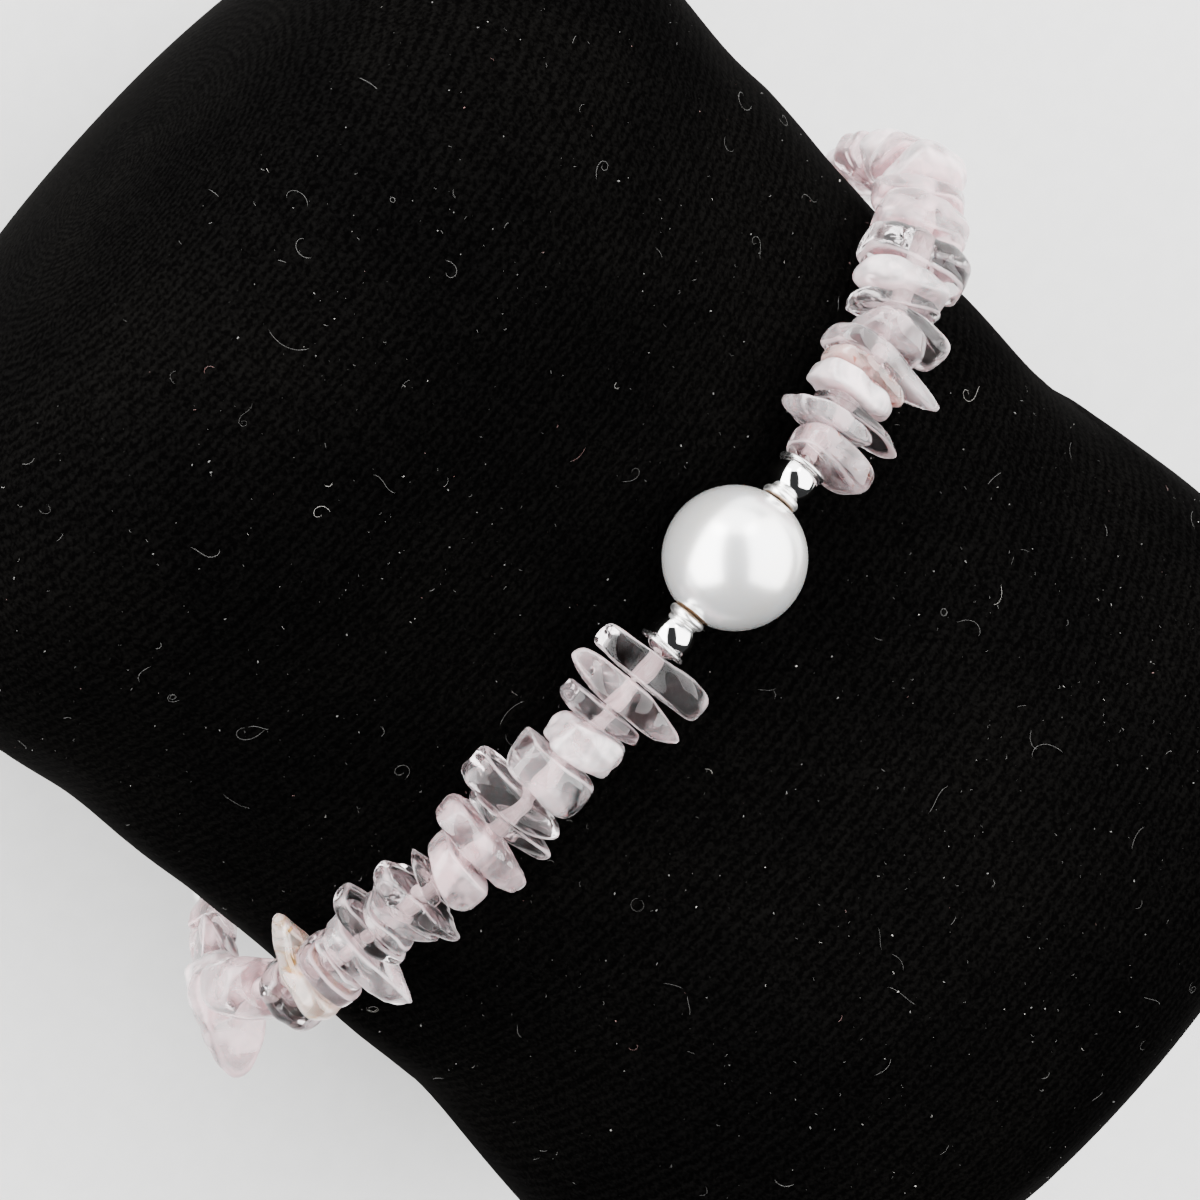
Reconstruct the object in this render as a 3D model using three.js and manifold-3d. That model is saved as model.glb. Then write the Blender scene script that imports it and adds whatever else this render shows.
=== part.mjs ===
// A chip bead bracelet with one large pearl, fastened round the waist of a velvet display pillow.
// Millimetres, +Z up. The pillow lies on its back, so the pearl faces up. X runs across the pillow,
// Y along it, and the origin is on the surface that it lies on, under the middle of the pillow.
import * as THREE from "three";
import { mergeVertices } from "three/addons/utils/BufferGeometryUtils.js";
import Module from "manifold-3d";

const wasm = await Module();
wasm.setup();

// ---- Driving dimensions -------------------------------------------------------------------------
const GAP = 0.25; // between neighbouring chips

// The strand is one flat loop, a superellipse that stands upright across the pillow. The lower its
// power, the sooner it turns in, above its middle height and below it.
const LOOP = { halfWidth: 38.2, halfHeight: 23.5, powerAbove: 2.2, powerBelow: 1.8, y: -6.1, z: 26 };
const PEARL_ANGLE = 102; // degrees round the loop from +X, where the pearl sits

// Round pieces, each with its place along the thread from the pearl's centre.
const PEARL = { diameter: 10, bore: 0.6 };
const SPACER = { ring: 2.25, wire: 0.5, at: 5.22 };
const BALL = { diameter: 3.3, bore: 0.55, at: 6.85 };
const WASHER = { ring: 3.2, wire: 0.34, at: 7.84 };
const FIRST_SEAM = 8.4; // where each strand of chips starts
const THREAD_RADIUS = 0.25;
const BORE_CLEARANCE = 0.3; // between the thread and a chip's bore
const CHIP_BORE = THREAD_RADIUS + BORE_CLEARANCE; // a radius, as every bore here is
const END_BEAD = { diameter: 3, bore: 0.55 };
const SLIDER = { length: 6.5, diameter: 3.6, bore: 0.8, edge: 0.8 };
const CHAIN = { radius: 0.5, intoSlider: 2 }; // the two ends of one chain that the slider stops

// The pillow, about its own middle. Its waist is in its middle, and it swells towards its ends.
const PILLOW = {
  halfLength: 51.8,
  waistHalfWidth: 34.6,
  endHalfWidth: 39.8,
  waistTop: 19.8,
  waistBottom: 20.8,
  endHalfHeight: 29, // more than the loop's height, so that the swollen ends lie flat
  power: 2.2, // of its cross-sections, as in the loop
  waistPowerBelow: 1.8, // the same at its waist, below its middle height
  endPower: 7, // the higher, the squarer its ends
  endRound: 2.6, // the higher, the later its sides turn in to its ends
  endCap: 0.9985, // the share of its half length where a small flat cap closes it
  swellReach: 1.05, // how much sooner than its ends it has swelled to its full size
  swellPower: 0.8, // below 1, it swells sooner after its waist
  turn: 1.2, // degrees, out of square with the bracelet
  pearlPress: 0.4, // how far its surface stays from the pearl
};

// How finely the solids are faceted.
const CHIP_TURNS = 10;
const CHIP_RINGS = 7;
const ROUND_SIDES = 12;
const BALL_RINGS = 6;
const WIRE_SIDES = 6;
const PEARL_FACETS = { sides: 24, rings: 12, pressDetail: 2 };
const TUBE_FACETS = { chain: { step: 2.5, sides: 6 }, thread: { step: 4, sides: 6 } };
const PILLOW_SIDES = 30;
const PILLOW_RINGS = 19;

// ---- The chips ----------------------------------------------------------------------------------
// A row is one tumbled stone chip. at is its place along the thread from the pearl's centre, and
// thick its length there. head and tail are its reaches towards -Y and +Y, out and inn away from
// the pillow and towards it. In degrees, roll turns it about the thread, its tail outwards, lean
// tips its tail away from the pearl, and yaw tips its outer side that way. thinHead and thinTail
// are its thickness at its ends as a share of that at the thread, and tipHead and tipTail run from
// 0, square, to 1, pointed. milk runs from 0, clear, to 1, cloudy.
const COLUMNS = [
  "at", "thick", "head", "tail", "out", "inn", "roll", "lean", "yaw",
  "thinHead", "thinTail", "tipHead", "tipTail", "milk",
];
const RIGHT_CHIPS = [
  [9.5, 2.6, 4.1, 5.3, 2.8, 2.5, 0, -5, -4, 0.8, 0.95, 0.5, 0.1, 0.1],
  [12.1, 2.2, 4.9, 5.5, 2.6, 2.5, 0, 3, 0, 0.7, 0.7, 0.6, 0.7, 0.3],
  [14.1, 1.7, 3.3, 3.1, 2.2, 2.4, 0, -8, 0, 1.1, 0.6, 0.4, 0.5, 0.5],
  [16.3, 3.1, 2.2, 3.1, 2.8, 2.2, 0, -14, 0, 0.8, 1.0, 0.3, 0.3, 0.9],
  [19.4, 3.4, 3.2, 3.2, 3.0, 2.2, 0, 4, 8, 1.0, 1.1, 0.2, 0.4, 0.7],
  [22.2, 2.6, 5.0, 3.7, 2.4, 2.4, 0, -4, 4, 2.2, 0.6, 0.4, 0.5, 0.05],
  [23.9, 1.3, 3.0, 4.4, 2.4, 2.0, 0, -3, 0, 0.9, 0.9, 0.5, 0.3, 0.05],
  [26.2, 2.5, 3.9, 4.9, 2.5, 1.8, 0, 11, 6, 0.9, 0.6, 0.3, 0.8, 0.7],
  [28.8, 3.0, 2.4, 3.1, 2.9, 1.8, 0, 10, -4, 0.9, 1.1, 0.2, 0.3, 0.8],
  [30.8, 1.3, 3.7, 1.6, 2.0, 1.8, 0, 34, 0, 1.6, 0.7, 0.2, 0.5, 0.1],
  [32.4, 1.9, 3.6, 4.4, 2.8, 1.9, 0, -10, 0, 1.1, 0.9, 0.3, 0.2, 0.2],
  [33.9, 1.3, 2.3, 5.0, 2.6, 1.9, 0, -26, 4, 0.9, 1.2, 0.4, 0.7, 0.5],
  [35.1, 1.4, 2.0, 2.7, 2.6, 1.9, 10, 8, 0, 0.9, 0.9, 0.5, 0.5, 0.2],
  [36.4, 1.6, 3.8, 3.2, 2.2, 2.0, 12, 2, 0, 1.0, 0.8, 0.3, 0.5, 0.1],
  [38.2, 2.2, 2.4, 7.1, 2.8, 1.9, 15, 5, 4, 0.9, 0.6, 0.5, 0.9, 0.6],
  [39.8, 1.1, 1.9, 3.0, 2.6, 1.9, 20, 8, 0, 0.8, 0.8, 0.5, 0.5, 0.1],
  [41.2, 1.8, 1.9, 3.5, 2.6, 1.9, 20, 0, 0, 0.9, 0.9, 0.4, 0.5, 0.2],
  [43.1, 2.4, 4.2, 3.7, 2.4, 2.2, 30, -4, -8, 0.6, 1.0, 0.9, 0.4, 0.8],
  [45.3, 1.9, 1.7, 3.9, 2.6, 2.2, 20, 0, 0, 0.9, 0.9, 0.5, 0.4, 0.1],
  [48.6, 4.0, 4.2, 2.2, 2.4, 2.2, -30, 0, 8, 0.9, 0.9, 0.3, 0.4, 0.7],
  [51.9, 2.6, 1.9, 6.2, 3.6, 3.0, 52, -4, 0, 0.9, 0.4, 0.5, 0.9, 0.5],
  [54.7, 2.7, 2.4, 2.2, 2.7, 2.2, 40, -4, 0, 0.8, 0.8, 0.5, 0.5, 0.6],
  [57.3, 2.4, 4.7, 2.0, 1.1, 2.0, 42, -6, 0, 0.6, 0.8, 0.9, 0.4, 0.7],
];
const LEFT_CHIPS = [
  [9.7, 2.2, 1.8, 4.7, 2.8, 2.4, 0, -9, 6, 1.0, 1.15, 0.4, 0.2, 0.6],
  [11.6, 1.7, 4.0, 3.0, 2.6, 2.4, 0, 20, 0, 1.3, 0.9, 0.3, 0.4, 0.7],
  [12.9, 1.4, 2.0, 5.7, 2.4, 2.5, 0, -9, 0, 0.9, 2.2, 0.4, 0.2, 0.2],
  [14.4, 2.1, 3.2, 3.1, 3.2, 2.3, 10, 7, -8, 1.4, 0.8, 0.2, 0.4, 0.9],
  [15.8, 1.2, 3.2, 3.4, 2.4, 2.5, 0, -6, 0, 0.9, 1.2, 0.4, 0.3, 0.7],
  [17.3, 1.8, 3.6, 6.8, 2.6, 2.4, 8, 4, 0, 1.0, 0.5, 0.4, 0.95, 0.7],
  [19.0, 2.0, 2.4, 2.8, 3.6, 2.2, 0, -10, 14, 1.1, 1.0, 0.3, 0.4, 0.6],
  [20.6, 1.6, 1.8, 4.8, 2.3, 2.4, 12, 0, 0, 0.9, 1.4, 0.4, 0.2, 0.1],
  [21.9, 1.8, 6.6, 3.2, 2.2, 2.3, 24, 31, 4, 1.1, 0.9, 0.5, 0.3, 0.3],
  [23.9, 1.9, 3.8, 3.2, 2.2, 2.4, 22, 4, 0, 0.9, 0.8, 0.4, 0.4, 0.5],
  [26.5, 3.1, 4.2, 4.2, 2.3, 2.3, 20, 0, 4, 0.8, 1.1, 0.3, 0.3, 0.2],
  [30.2, 4.0, 3.6, 3.4, 2.2, 2.3, 20, 4, 0, 0.9, 0.9, 0.3, 0.3, 0.8],
  [33.4, 2.3, 4.0, 3.1, 2.0, 2.2, 28, 6, 0, 0.9, 0.9, 0.4, 0.4, 0.6],
  [35.8, 2.4, 2.8, 2.4, 4.0, 2.2, 0, -4, 6, 0.9, 0.8, 0.3, 0.5, 0.5],
  [38.6, 3.0, 3.2, 2.4, 2.9, 2.2, 0, 0, 0, 0.9, 0.9, 0.4, 0.4, 0.6],
  [41.8, 3.3, 3.0, 2.4, 2.2, 2.2, 0, 4, -6, 0.8, 0.9, 0.5, 0.4, 0.6],
  [45.0, 3.0, 3.2, 2.6, 1.4, 2.2, 0, 0, 0, 0.9, 0.7, 0.5, 0.6, 0.7],
];
// The chips behind the pillow, out of sight, are joined along the thread in short stretches.
const RIGHT_HIDDEN = [
  [
    [59.9, 2.6, 1.1, 3.2, 0.8, 2.2, 20, 4, 0, 0.8, 0.7, 0.5, 0.6, 0.6],
    [62.5, 2.6, 1.0, 3.2, 0.8, 2.2, 10, -4, 0, 0.7, 0.8, 0.6, 0.4, 0.6],
    [65.3, 3.0, 1.1, 2.8, 0.8, 2.2, 0, 4, 0, 0.8, 0.7, 0.5, 0.5, 0.6],
  ],
];
const LEFT_HIDDEN = [
  [
    [48.0, 2.8, 2.2, 3.0, 0.95, 2.2, 0, 4, 0, 0.8, 0.7, 0.5, 0.6, 0.6],
    [50.9, 2.8, 2.5, 3.0, 0.95, 2.2, 0, -4, 0, 0.7, 0.8, 0.6, 0.4, 0.6],
    [53.7, 2.7, 3.2, 3.2, 1.4, 2.3, 0, 2, 0, 0.8, 0.6, 0.4, 0.7, 0.6],
  ],
  [
    [56.4, 2.7, 3.5, 3.0, 2.3, 2.4, 0, -4, 0, 0.7, 0.8, 0.6, 0.4, 0.6],
    [59.0, 2.6, 3.0, 3.5, 2.4, 2.4, 0, 4, 0, 0.8, 0.7, 0.5, 0.6, 0.6],
    [61.6, 2.7, 3.4, 3.0, 2.3, 2.4, 0, 0, 0, 0.8, 0.8, 0.5, 0.5, 0.6],
  ],
];
const JOINED = 0.35; // how far joined chips reach into one another
const FULLNESS = 1.25; // how much thicker a chip would be if its neighbours did not bound it
const EDGE_POWER = 9; // the higher, the crisper the edges of a chip
const MOUTH_PRECISION = 1e-7; // radians, where a chip's surface meets its bore
const SEAM_REACH = 3; // how many places along the thread a chip's neighbours are looked for
const SEAM_HOLD = { full: 1.08, none: 1.5 }; // of a neighbour's outline, where its seam holds
const TAPER_WEIGHT = 0.5; // each broad side is two tapering flats, which share its weight
const CORNER_VARIATION = 0.3; // how far chance changes a corner's cut, on the scale of tipHead
const ROSE_FROM = 0.4; // chips with more milk than this are rose quartz, and the rest are clear

// ---- The loop -----------------------------------------------------------------------------------
// How far a superellipse of half width and half height 1 reaches at an angle's cosine and sine.
function roundness(c, s, { powerAbove, powerBelow }) {
  const power = s > 0 ? powerAbove : powerBelow;
  return (Math.abs(c) ** power + Math.abs(s) ** power) ** (-1 / power);
}

// A superellipse point at an angle, in the loop's own plane.
function loopPoint(angle) {
  const c = Math.cos(angle);
  const s = Math.sin(angle);
  const reach = roundness(c, s, LOOP);
  return new THREE.Vector3(
    LOOP.halfWidth * reach * c,
    LOOP.y,
    LOOP.z + LOOP.halfHeight * reach * s,
  );
}

// The loop measured off by its length, starting at the pearl and running towards +X.
const LOOP_STEPS = 1440;
const loopPoints = [];
const loopLengths = [0];
for (let i = 0; i <= LOOP_STEPS; i += 1) {
  const angle = THREE.MathUtils.degToRad(PEARL_ANGLE) - (2 * Math.PI * i) / LOOP_STEPS;
  loopPoints.push(loopPoint(angle));
  if (i > 0) loopLengths.push(loopLengths[i - 1] + loopPoints[i].distanceTo(loopPoints[i - 1]));
}
const LOOP_LENGTH = loopLengths[LOOP_STEPS];

// The point, direction and outward normal at a distance from the pearl, positive towards +X.
function frameAt(distance) {
  const wrapped = THREE.MathUtils.euclideanModulo(distance, LOOP_LENGTH);
  let i = 1;
  while (loopLengths[i] < wrapped) i += 1;
  const share = (wrapped - loopLengths[i - 1]) / (loopLengths[i] - loopLengths[i - 1]);
  const point = loopPoints[i - 1].clone().lerp(loopPoints[i], share);
  const along = loopPoints[i].clone().sub(loopPoints[i - 1]).normalize();
  const outward = new THREE.Vector3(-along.z, 0, along.x);
  return { point, along, outward };
}

// A curve that follows the loop between two distances from the pearl.
class LoopCurve extends THREE.Curve {
  constructor(start, end) {
    super();
    this.start = start;
    this.end = end;
  }
  getPoint(t, target = new THREE.Vector3()) {
    return target.copy(frameAt(this.start + (this.end - this.start) * t).point);
  }
}

// ---- Shapes -------------------------------------------------------------------------------------
// A smooth step from 0 to 1.
const ease = (t) => {
  const x = Math.min(1, Math.max(0, t));
  return x * x * (3 - 2 * x);
};

// A closed grid of points as a mesh: rows wrap round, and each row closes on itself.
function ringGrid(rows, flip) {
  const count = rows[0].length;
  const positions = rows.flat().flatMap((p) => [p.x, p.y, p.z]);
  const index = [];
  rows.forEach((row, i) => {
    const next = (i + 1) % rows.length;
    row.forEach((_, j) => {
      const right = (j + 1) % count;
      const [a, b] = [i * count + j, next * count + j];
      const [c, d] = [next * count + right, i * count + right];
      index.push(...(flip ? [a, c, b, a, d, c] : [a, b, c, a, c, d]));
    });
  });
  const geometry = new THREE.BufferGeometry();
  geometry.setAttribute("position", new THREE.Float32BufferAttribute(positions, 3));
  geometry.setIndex(index);
  geometry.computeVertexNormals();
  return geometry;
}

// A manifold-3d solid of a geometry, and the way back.
function toSolid(geometry) {
  const bare = geometry.clone();
  bare.deleteAttribute("normal");
  bare.deleteAttribute("uv");
  const merged = mergeVertices(bare, 1e-4);
  return new wasm.Manifold(
    new wasm.Mesh({
      numProp: 3,
      vertProperties: merged.attributes.position.array,
      triVerts: new Uint32Array(merged.index.array),
    }),
  );
}
function toGeometry(solid) {
  const mesh = solid.getMesh();
  const geometry = new THREE.BufferGeometry();
  geometry.setAttribute("position", new THREE.BufferAttribute(mesh.vertProperties, 3));
  geometry.setIndex(new THREE.BufferAttribute(mesh.triVerts, 1));
  geometry.computeVertexNormals();
  return geometry;
}

// A repeatable number from 0 to 1 for one chip and one of its corners: the fraction of a large wave.
function chance(chip, corner) {
  const wave = Math.sin(chip * 12.9898 + corner * 78.233) * 43758.5453;
  return wave - Math.floor(wave);
}

// A flat that bounds a chip, in the chip's own axes, from a normal of any size.
function flat(x, y, z, distance, weight = 1) {
  const size = Math.hypot(x, y, z);
  const normal = new THREE.Vector3(x, y, z).divideScalar(size);
  return { normal, distance: distance / size, weight };
}

// The flats of a chip's outline along the thread, its four edges and its four cut corners, in its
// own axes: x towards its tail, y away from the pillow, z along the thread, away from the pearl.
function outlineFlats(chip) {
  const edges = [
    flat(1, 0, 0, chip.tail),
    flat(-1, 0, 0, chip.head),
    flat(0, 1, 0, chip.out),
    flat(0, -1, 0, chip.inn),
  ];
  const corners = [
    [chip.tail, chip.out, 1, 1, chip.tipTail],
    [chip.tail, chip.inn, 1, -1, chip.tipTail],
    [chip.head, chip.out, -1, 1, chip.tipHead],
    [chip.head, chip.inn, -1, -1, chip.tipHead],
  ].map(([reach, depth, alongX, alongY, tip], corner) => {
    const varied = tip + CORNER_VARIATION * (chance(chip.seed, corner) - 0.5);
    const cut = 2 - THREE.MathUtils.clamp(varied, 0, 1);
    return flat(alongX * depth, alongY * reach, 0, cut * depth * reach);
  });
  return [...edges, ...corners];
}

// The flats of a chip's two broad sides, which thin towards its head and its tail.
function sideFlats(chip) {
  const half = (FULLNESS * chip.thick) / 2;
  const lean = Math.tan(THREE.MathUtils.degToRad(chip.lean));
  const yaw = Math.tan(THREE.MathUtils.degToRad(chip.yaw));
  const tapers = [
    ((1 - chip.thinTail) * half) / chip.tail,
    -((1 - chip.thinHead) * half) / chip.head,
  ];
  return tapers.flatMap((taper) => [
    flat(taper - lean, -yaw, 1, half, TAPER_WEIGHT),
    flat(taper + lean, yaw, -1, half, TAPER_WEIGHT),
  ]);
}

// A chip's own axes: x towards its tail, y away from the pillow, z away from the pearl.
function chipAxes(chip) {
  const { along, outward } = frameAt(chip.side * chip.at);
  const roll = THREE.MathUtils.degToRad(chip.roll);
  const x = new THREE.Vector3(0, Math.cos(roll), 0).addScaledVector(outward, Math.sin(roll));
  const y = new THREE.Vector3(0, -Math.sin(roll), 0).addScaledVector(outward, Math.cos(roll));
  return [x, y, along.clone().multiplyScalar(chip.side)];
}

// The plane between neighbours, leaning halfway between them.
function seam(distance, side, neighbours) {
  const { point, along } = frameAt(side * distance);
  const normal = along.clone().multiplyScalar(side);
  for (const { axes, lean, yaw } of neighbours) {
    normal.addScaledVector(axes[0], -Math.tan(THREE.MathUtils.degToRad(lean)) / neighbours.length);
    normal.addScaledVector(axes[1], -Math.tan(THREE.MathUtils.degToRad(yaw)) / neighbours.length);
  }
  return { point, normal: normal.normalize() };
}

// The side of a seam that a chip lies on, as a flat in the chip's axes, kept back by some room.
// other is the neighbour beyond it, if there is one.
function seamFlat(chip, plane, way, room, other) {
  const normal = plane.normal.clone().multiplyScalar(way);
  const distance = normal.dot(plane.point.clone().sub(chip.centre)) - room;
  return { ...flat(...chip.axes.map((axis) => axis.dot(normal)), distance), other };
}

// A point given in a chip's axes, in the model's.
function placed(chip, point) {
  const place = chip.centre.clone();
  chip.axes.forEach((axis, i) => place.addScaledVector(axis, point.getComponent(i)));
  return place;
}

// The size of a point among flats: 1 on their common surface, less inside it and more outside, as
// a power sum that rounds the edges where flats meet.
function gauge(flats, point) {
  const terms = flats.map(
    ({ normal, distance, weight }) => weight * Math.max(0, normal.dot(point) / distance) ** EDGE_POWER,
  );
  return terms.reduce((sum, term) => sum + term) ** (1 / EDGE_POWER);
}

// How much a seam holds a chip back in a direction: fully where the direction meets the seam within
// the neighbour's outline, and not at all well outside, where a long chip leans past a short one.
function seamHold(chip, { normal, distance, other }, way) {
  const facing = normal.dot(way);
  if (!other || facing <= 0) return 1;
  const crossing = placed(chip, way.clone().multiplyScalar(distance / facing)).sub(other.centre);
  const across = new THREE.Vector3(crossing.dot(other.axes[0]), crossing.dot(other.axes[1]), 0);
  const outside = gauge(other.outline, across) - SEAM_HOLD.full;
  return 1 - ease(outside / (SEAM_HOLD.none - SEAM_HOLD.full));
}

// How far a chip reaches in a direction.
function reachTo(chip, way) {
  const seams = chip.seams.map((plane) => ({ ...plane, weight: seamHold(chip, plane, way) }));
  return 1 / gauge([...chip.outline, ...chip.sides, ...seams], way);
}

// The direction from a chip's centre at an angle about the thread and a polar angle from it.
function direction(turn, polar) {
  return new THREE.Vector3(
    Math.cos(turn) * Math.sin(polar),
    Math.sin(turn) * Math.sin(polar),
    Math.cos(polar),
  );
}

// The polar angle where a chip's surface is as far from the thread as its bore is wide, found by
// halving, on the side away from the pearl or towards it.
function boreMouth(chip, turn, isFar) {
  const angleOf = (polar) => (isFar ? polar : Math.PI - polar);
  let [low, high] = [0, Math.PI / 2];
  while (high - low > MOUTH_PRECISION) {
    const middle = (low + high) / 2;
    const radius = reachTo(chip, direction(turn, angleOf(middle))) * Math.sin(middle);
    if (radius < CHIP_BORE) low = middle;
    else high = middle;
  }
  return angleOf(low);
}

// The polar angles of a chip's rings at one angle about the thread, from one mouth of its bore to
// the other. They are even on an ellipse of its thickness and width, so they follow a thin chip.
function ringAngles(chip, turn) {
  const across = Math.cos(turn) * (Math.cos(turn) > 0 ? chip.tail : chip.head);
  const outwards = Math.sin(turn) * (Math.sin(turn) > 0 ? chip.out : chip.inn);
  const width = 2 * Math.hypot(across, outwards);
  const [start, end] = [boreMouth(chip, turn, true), boreMouth(chip, turn, false)].map((polar) =>
    Math.atan2(Math.sin(polar) * chip.thick, Math.cos(polar) * width),
  );
  return Array.from({ length: CHIP_RINGS }, (_, ring) => {
    const angle = THREE.MathUtils.lerp(start, end, ring / (CHIP_RINGS - 1));
    return Math.atan2(width * Math.sin(angle), chip.thick * Math.cos(angle));
  });
}

// A chip's surface, with the thread's bore through it.
function chipGeometry(chip) {
  const rows = Array.from({ length: CHIP_TURNS }, (_, k) => {
    const turn = (2 * Math.PI * k) / CHIP_TURNS;
    return ringAngles(chip, turn).map((polar) => {
      const way = direction(turn, polar);
      return placed(chip, way.clone().multiplyScalar(reachTo(chip, way)));
    });
  });
  return ringGrid(rows, chip.side > 0);
}

// One chip of a strand, from its row: its place, its axes and its flats, with no seams yet.
function strungChip(values, side, stretch, k) {
  const chip = Object.fromEntries(COLUMNS.map((name, column) => [name, values[column]]));
  const seed = side * 7 + stretch * 31 + k; // any number that differs from chip to chip
  Object.assign(chip, { side, stretch, seed, seams: [] });
  Object.assign(chip, { centre: frameAt(side * chip.at).point, axes: chipAxes(chip) });
  return Object.assign(chip, { outline: outlineFlats(chip), sides: sideFlats(chip) });
}

// The chips of one strand, with the seams that part them, and where the strand ends.
function strandChips(tables, side) {
  const chips = tables.flatMap((table, stretch) =>
    table.map((values, k) => strungChip(values, side, stretch, k)),
  );
  const [first, last] = [chips[0], chips[chips.length - 1]];
  const end = last.at + last.thick / 2;
  first.seams.push(seamFlat(first, seam(FIRST_SEAM, side, [first]), -1, GAP / 2));
  last.seams.push(seamFlat(last, seam(end, side, [last]), 1, GAP / 2));
  chips.forEach((near, k) => {
    for (const far of chips.slice(k + 1, k + 1 + SEAM_REACH)) {
      const place = (near.at + far.at) / 2 + (near.thick - far.thick) / 4;
      const plane = seam(place, side, [near, far]);
      const room = near.stretch > 0 && near.stretch === far.stretch ? -JOINED : GAP / 2;
      near.seams.push(seamFlat(near, plane, 1, room, far));
      far.seams.push(seamFlat(far, plane, -1, room, near));
    }
  });
  return { chips, end };
}

// A round piece with a bore, turned about its own Z: a profile of radius and height points.
function turned(profile, sides = ROUND_SIDES) {
  const points = profile.map(([radius, height]) => new THREE.Vector2(radius, height));
  points.push(points[0].clone());
  const geometry = new THREE.LatheGeometry(points, sides);
  geometry.rotateX(Math.PI / 2); // the lathe's own axis is Y
  return geometry;
}

// The profile of a drilled ball, from one mouth of the bore round to the other.
function ballProfile(diameter, bore, steps) {
  const radius = diameter / 2;
  const mouth = Math.asin(bore / radius);
  return Array.from({ length: steps + 1 }, (_, k) => {
    const polar = Math.PI - mouth + ((2 * mouth - Math.PI) * k) / steps;
    return [radius * Math.sin(polar), radius * Math.cos(polar)];
  });
}

// A round-wired ring.
function torus({ ring, wire }) {
  return new THREE.TorusGeometry(ring / 2, wire / 2, WIRE_SIDES, ROUND_SIDES);
}

// The slider's barrel, with its two ends rounded off.
function sliderProfile({ length, diameter, bore, edge }) {
  const [radius, half] = [diameter / 2, length / 2];
  const shoulder = edge * (1 - Math.SQRT1_2);
  return [
    [bore, -half],
    [radius - edge, -half],
    [radius - shoulder, -half + shoulder],
    [radius, -half + edge],
    [radius, half - edge],
    [radius - shoulder, half - shoulder],
    [radius - edge, half],
    [bore, half],
  ];
}

// A round tube along the loop.
function tube(start, end, radius, { step, sides }) {
  const section = new THREE.Shape();
  for (let k = 0; k < sides; k += 1) {
    const angle = (2 * Math.PI * k) / sides;
    section[k ? "lineTo" : "moveTo"](radius * Math.cos(angle), radius * Math.sin(angle));
  }
  section.closePath();
  return new THREE.ExtrudeGeometry(section, {
    steps: Math.round(Math.abs(end - start) / step),
    extrudePath: new LoopCurve(start, end),
    bevelEnabled: false,
  });
}

// ---- The pillow ---------------------------------------------------------------------------------
// How far the pillow has swelled from its waist to its full size, at a place along it.
function swell(y) {
  const room = y < LOOP.y ? LOOP.y + PILLOW.halfLength : PILLOW.halfLength - LOOP.y;
  return ease((PILLOW.swellReach * Math.abs(y - LOOP.y)) / room) ** PILLOW.swellPower;
}

// One cross-section of the pillow, a superellipse that closes towards the ends.
function pillowRing(y) {
  const gone = Math.abs(y / PILLOW.halfLength) ** PILLOW.endPower;
  const closing = (1 - gone) ** (1 / PILLOW.endRound);
  const full = swell(y);
  const width = closing * THREE.MathUtils.lerp(PILLOW.waistHalfWidth, PILLOW.endHalfWidth, full);
  const top = closing * THREE.MathUtils.lerp(PILLOW.waistTop, PILLOW.endHalfHeight, full);
  const bottom = closing * THREE.MathUtils.lerp(PILLOW.waistBottom, PILLOW.endHalfHeight, full);
  const powerBelow = THREE.MathUtils.lerp(PILLOW.waistPowerBelow, PILLOW.power, full);
  return Array.from({ length: PILLOW_SIDES }, (_, k) => {
    const angle = (2 * Math.PI * k) / PILLOW_SIDES;
    const [c, s] = [Math.cos(angle), Math.sin(angle)];
    const reach = roundness(c, s, { powerAbove: PILLOW.power, powerBelow });
    return new THREE.Vector3(width * reach * c, y, LOOP.z + (s > 0 ? top : bottom) * reach * s);
  });
}

// The stuffed pillow: flattened where it lies, and pressed in under the pearl.
function pillowGeometry() {
  const rows = [];
  for (let i = 0; i <= PILLOW_RINGS; i += 1) {
    const share = (2 * i) / PILLOW_RINGS - 1;
    rows.push(pillowRing(PILLOW.endCap * PILLOW.halfLength * Math.sin((share * Math.PI) / 2)));
  }
  const body = toSolid(closedBy(rows).rotateZ(THREE.MathUtils.degToRad(-PILLOW.turn)));
  const size = 4 * PILLOW.halfLength; // larger than the pillow each way
  const above = new THREE.BoxGeometry(size, size, size).translate(0, 0, size / 2);
  const pearl = frameAt(0).point;
  const pressRadius = PEARL.diameter / 2 + PILLOW.pearlPress;
  const press = new THREE.IcosahedronGeometry(pressRadius, PEARL_FACETS.pressDetail);
  press.translate(pearl.x, pearl.y, pearl.z);
  return toGeometry(body.intersect(toSolid(above)).subtract(toSolid(press)));
}

// Rings joined one to the next, with a flat cap at both ends.
function closedBy(rings) {
  const count = rings[0].length;
  const positions = rings.flat().flatMap((p) => [p.x, p.y, p.z]);
  const index = [];
  for (let i = 0; i + 1 < rings.length; i += 1) {
    for (let j = 0; j < count; j += 1) {
      const right = (j + 1) % count;
      const [here, next] = [i * count, (i + 1) * count];
      index.push(here + j, next + j, next + right, here + j, next + right, here + right);
    }
  }
  const last = (rings.length - 1) * count;
  for (let j = 1; j + 1 < count; j += 1) {
    index.push(0, j, j + 1);
    index.push(last, last + j + 1, last + j);
  }
  const geometry = new THREE.BufferGeometry();
  geometry.setAttribute("position", new THREE.Float32BufferAttribute(positions, 3));
  geometry.setIndex(index);
  geometry.computeVertexNormals();
  return geometry;
}

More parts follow.
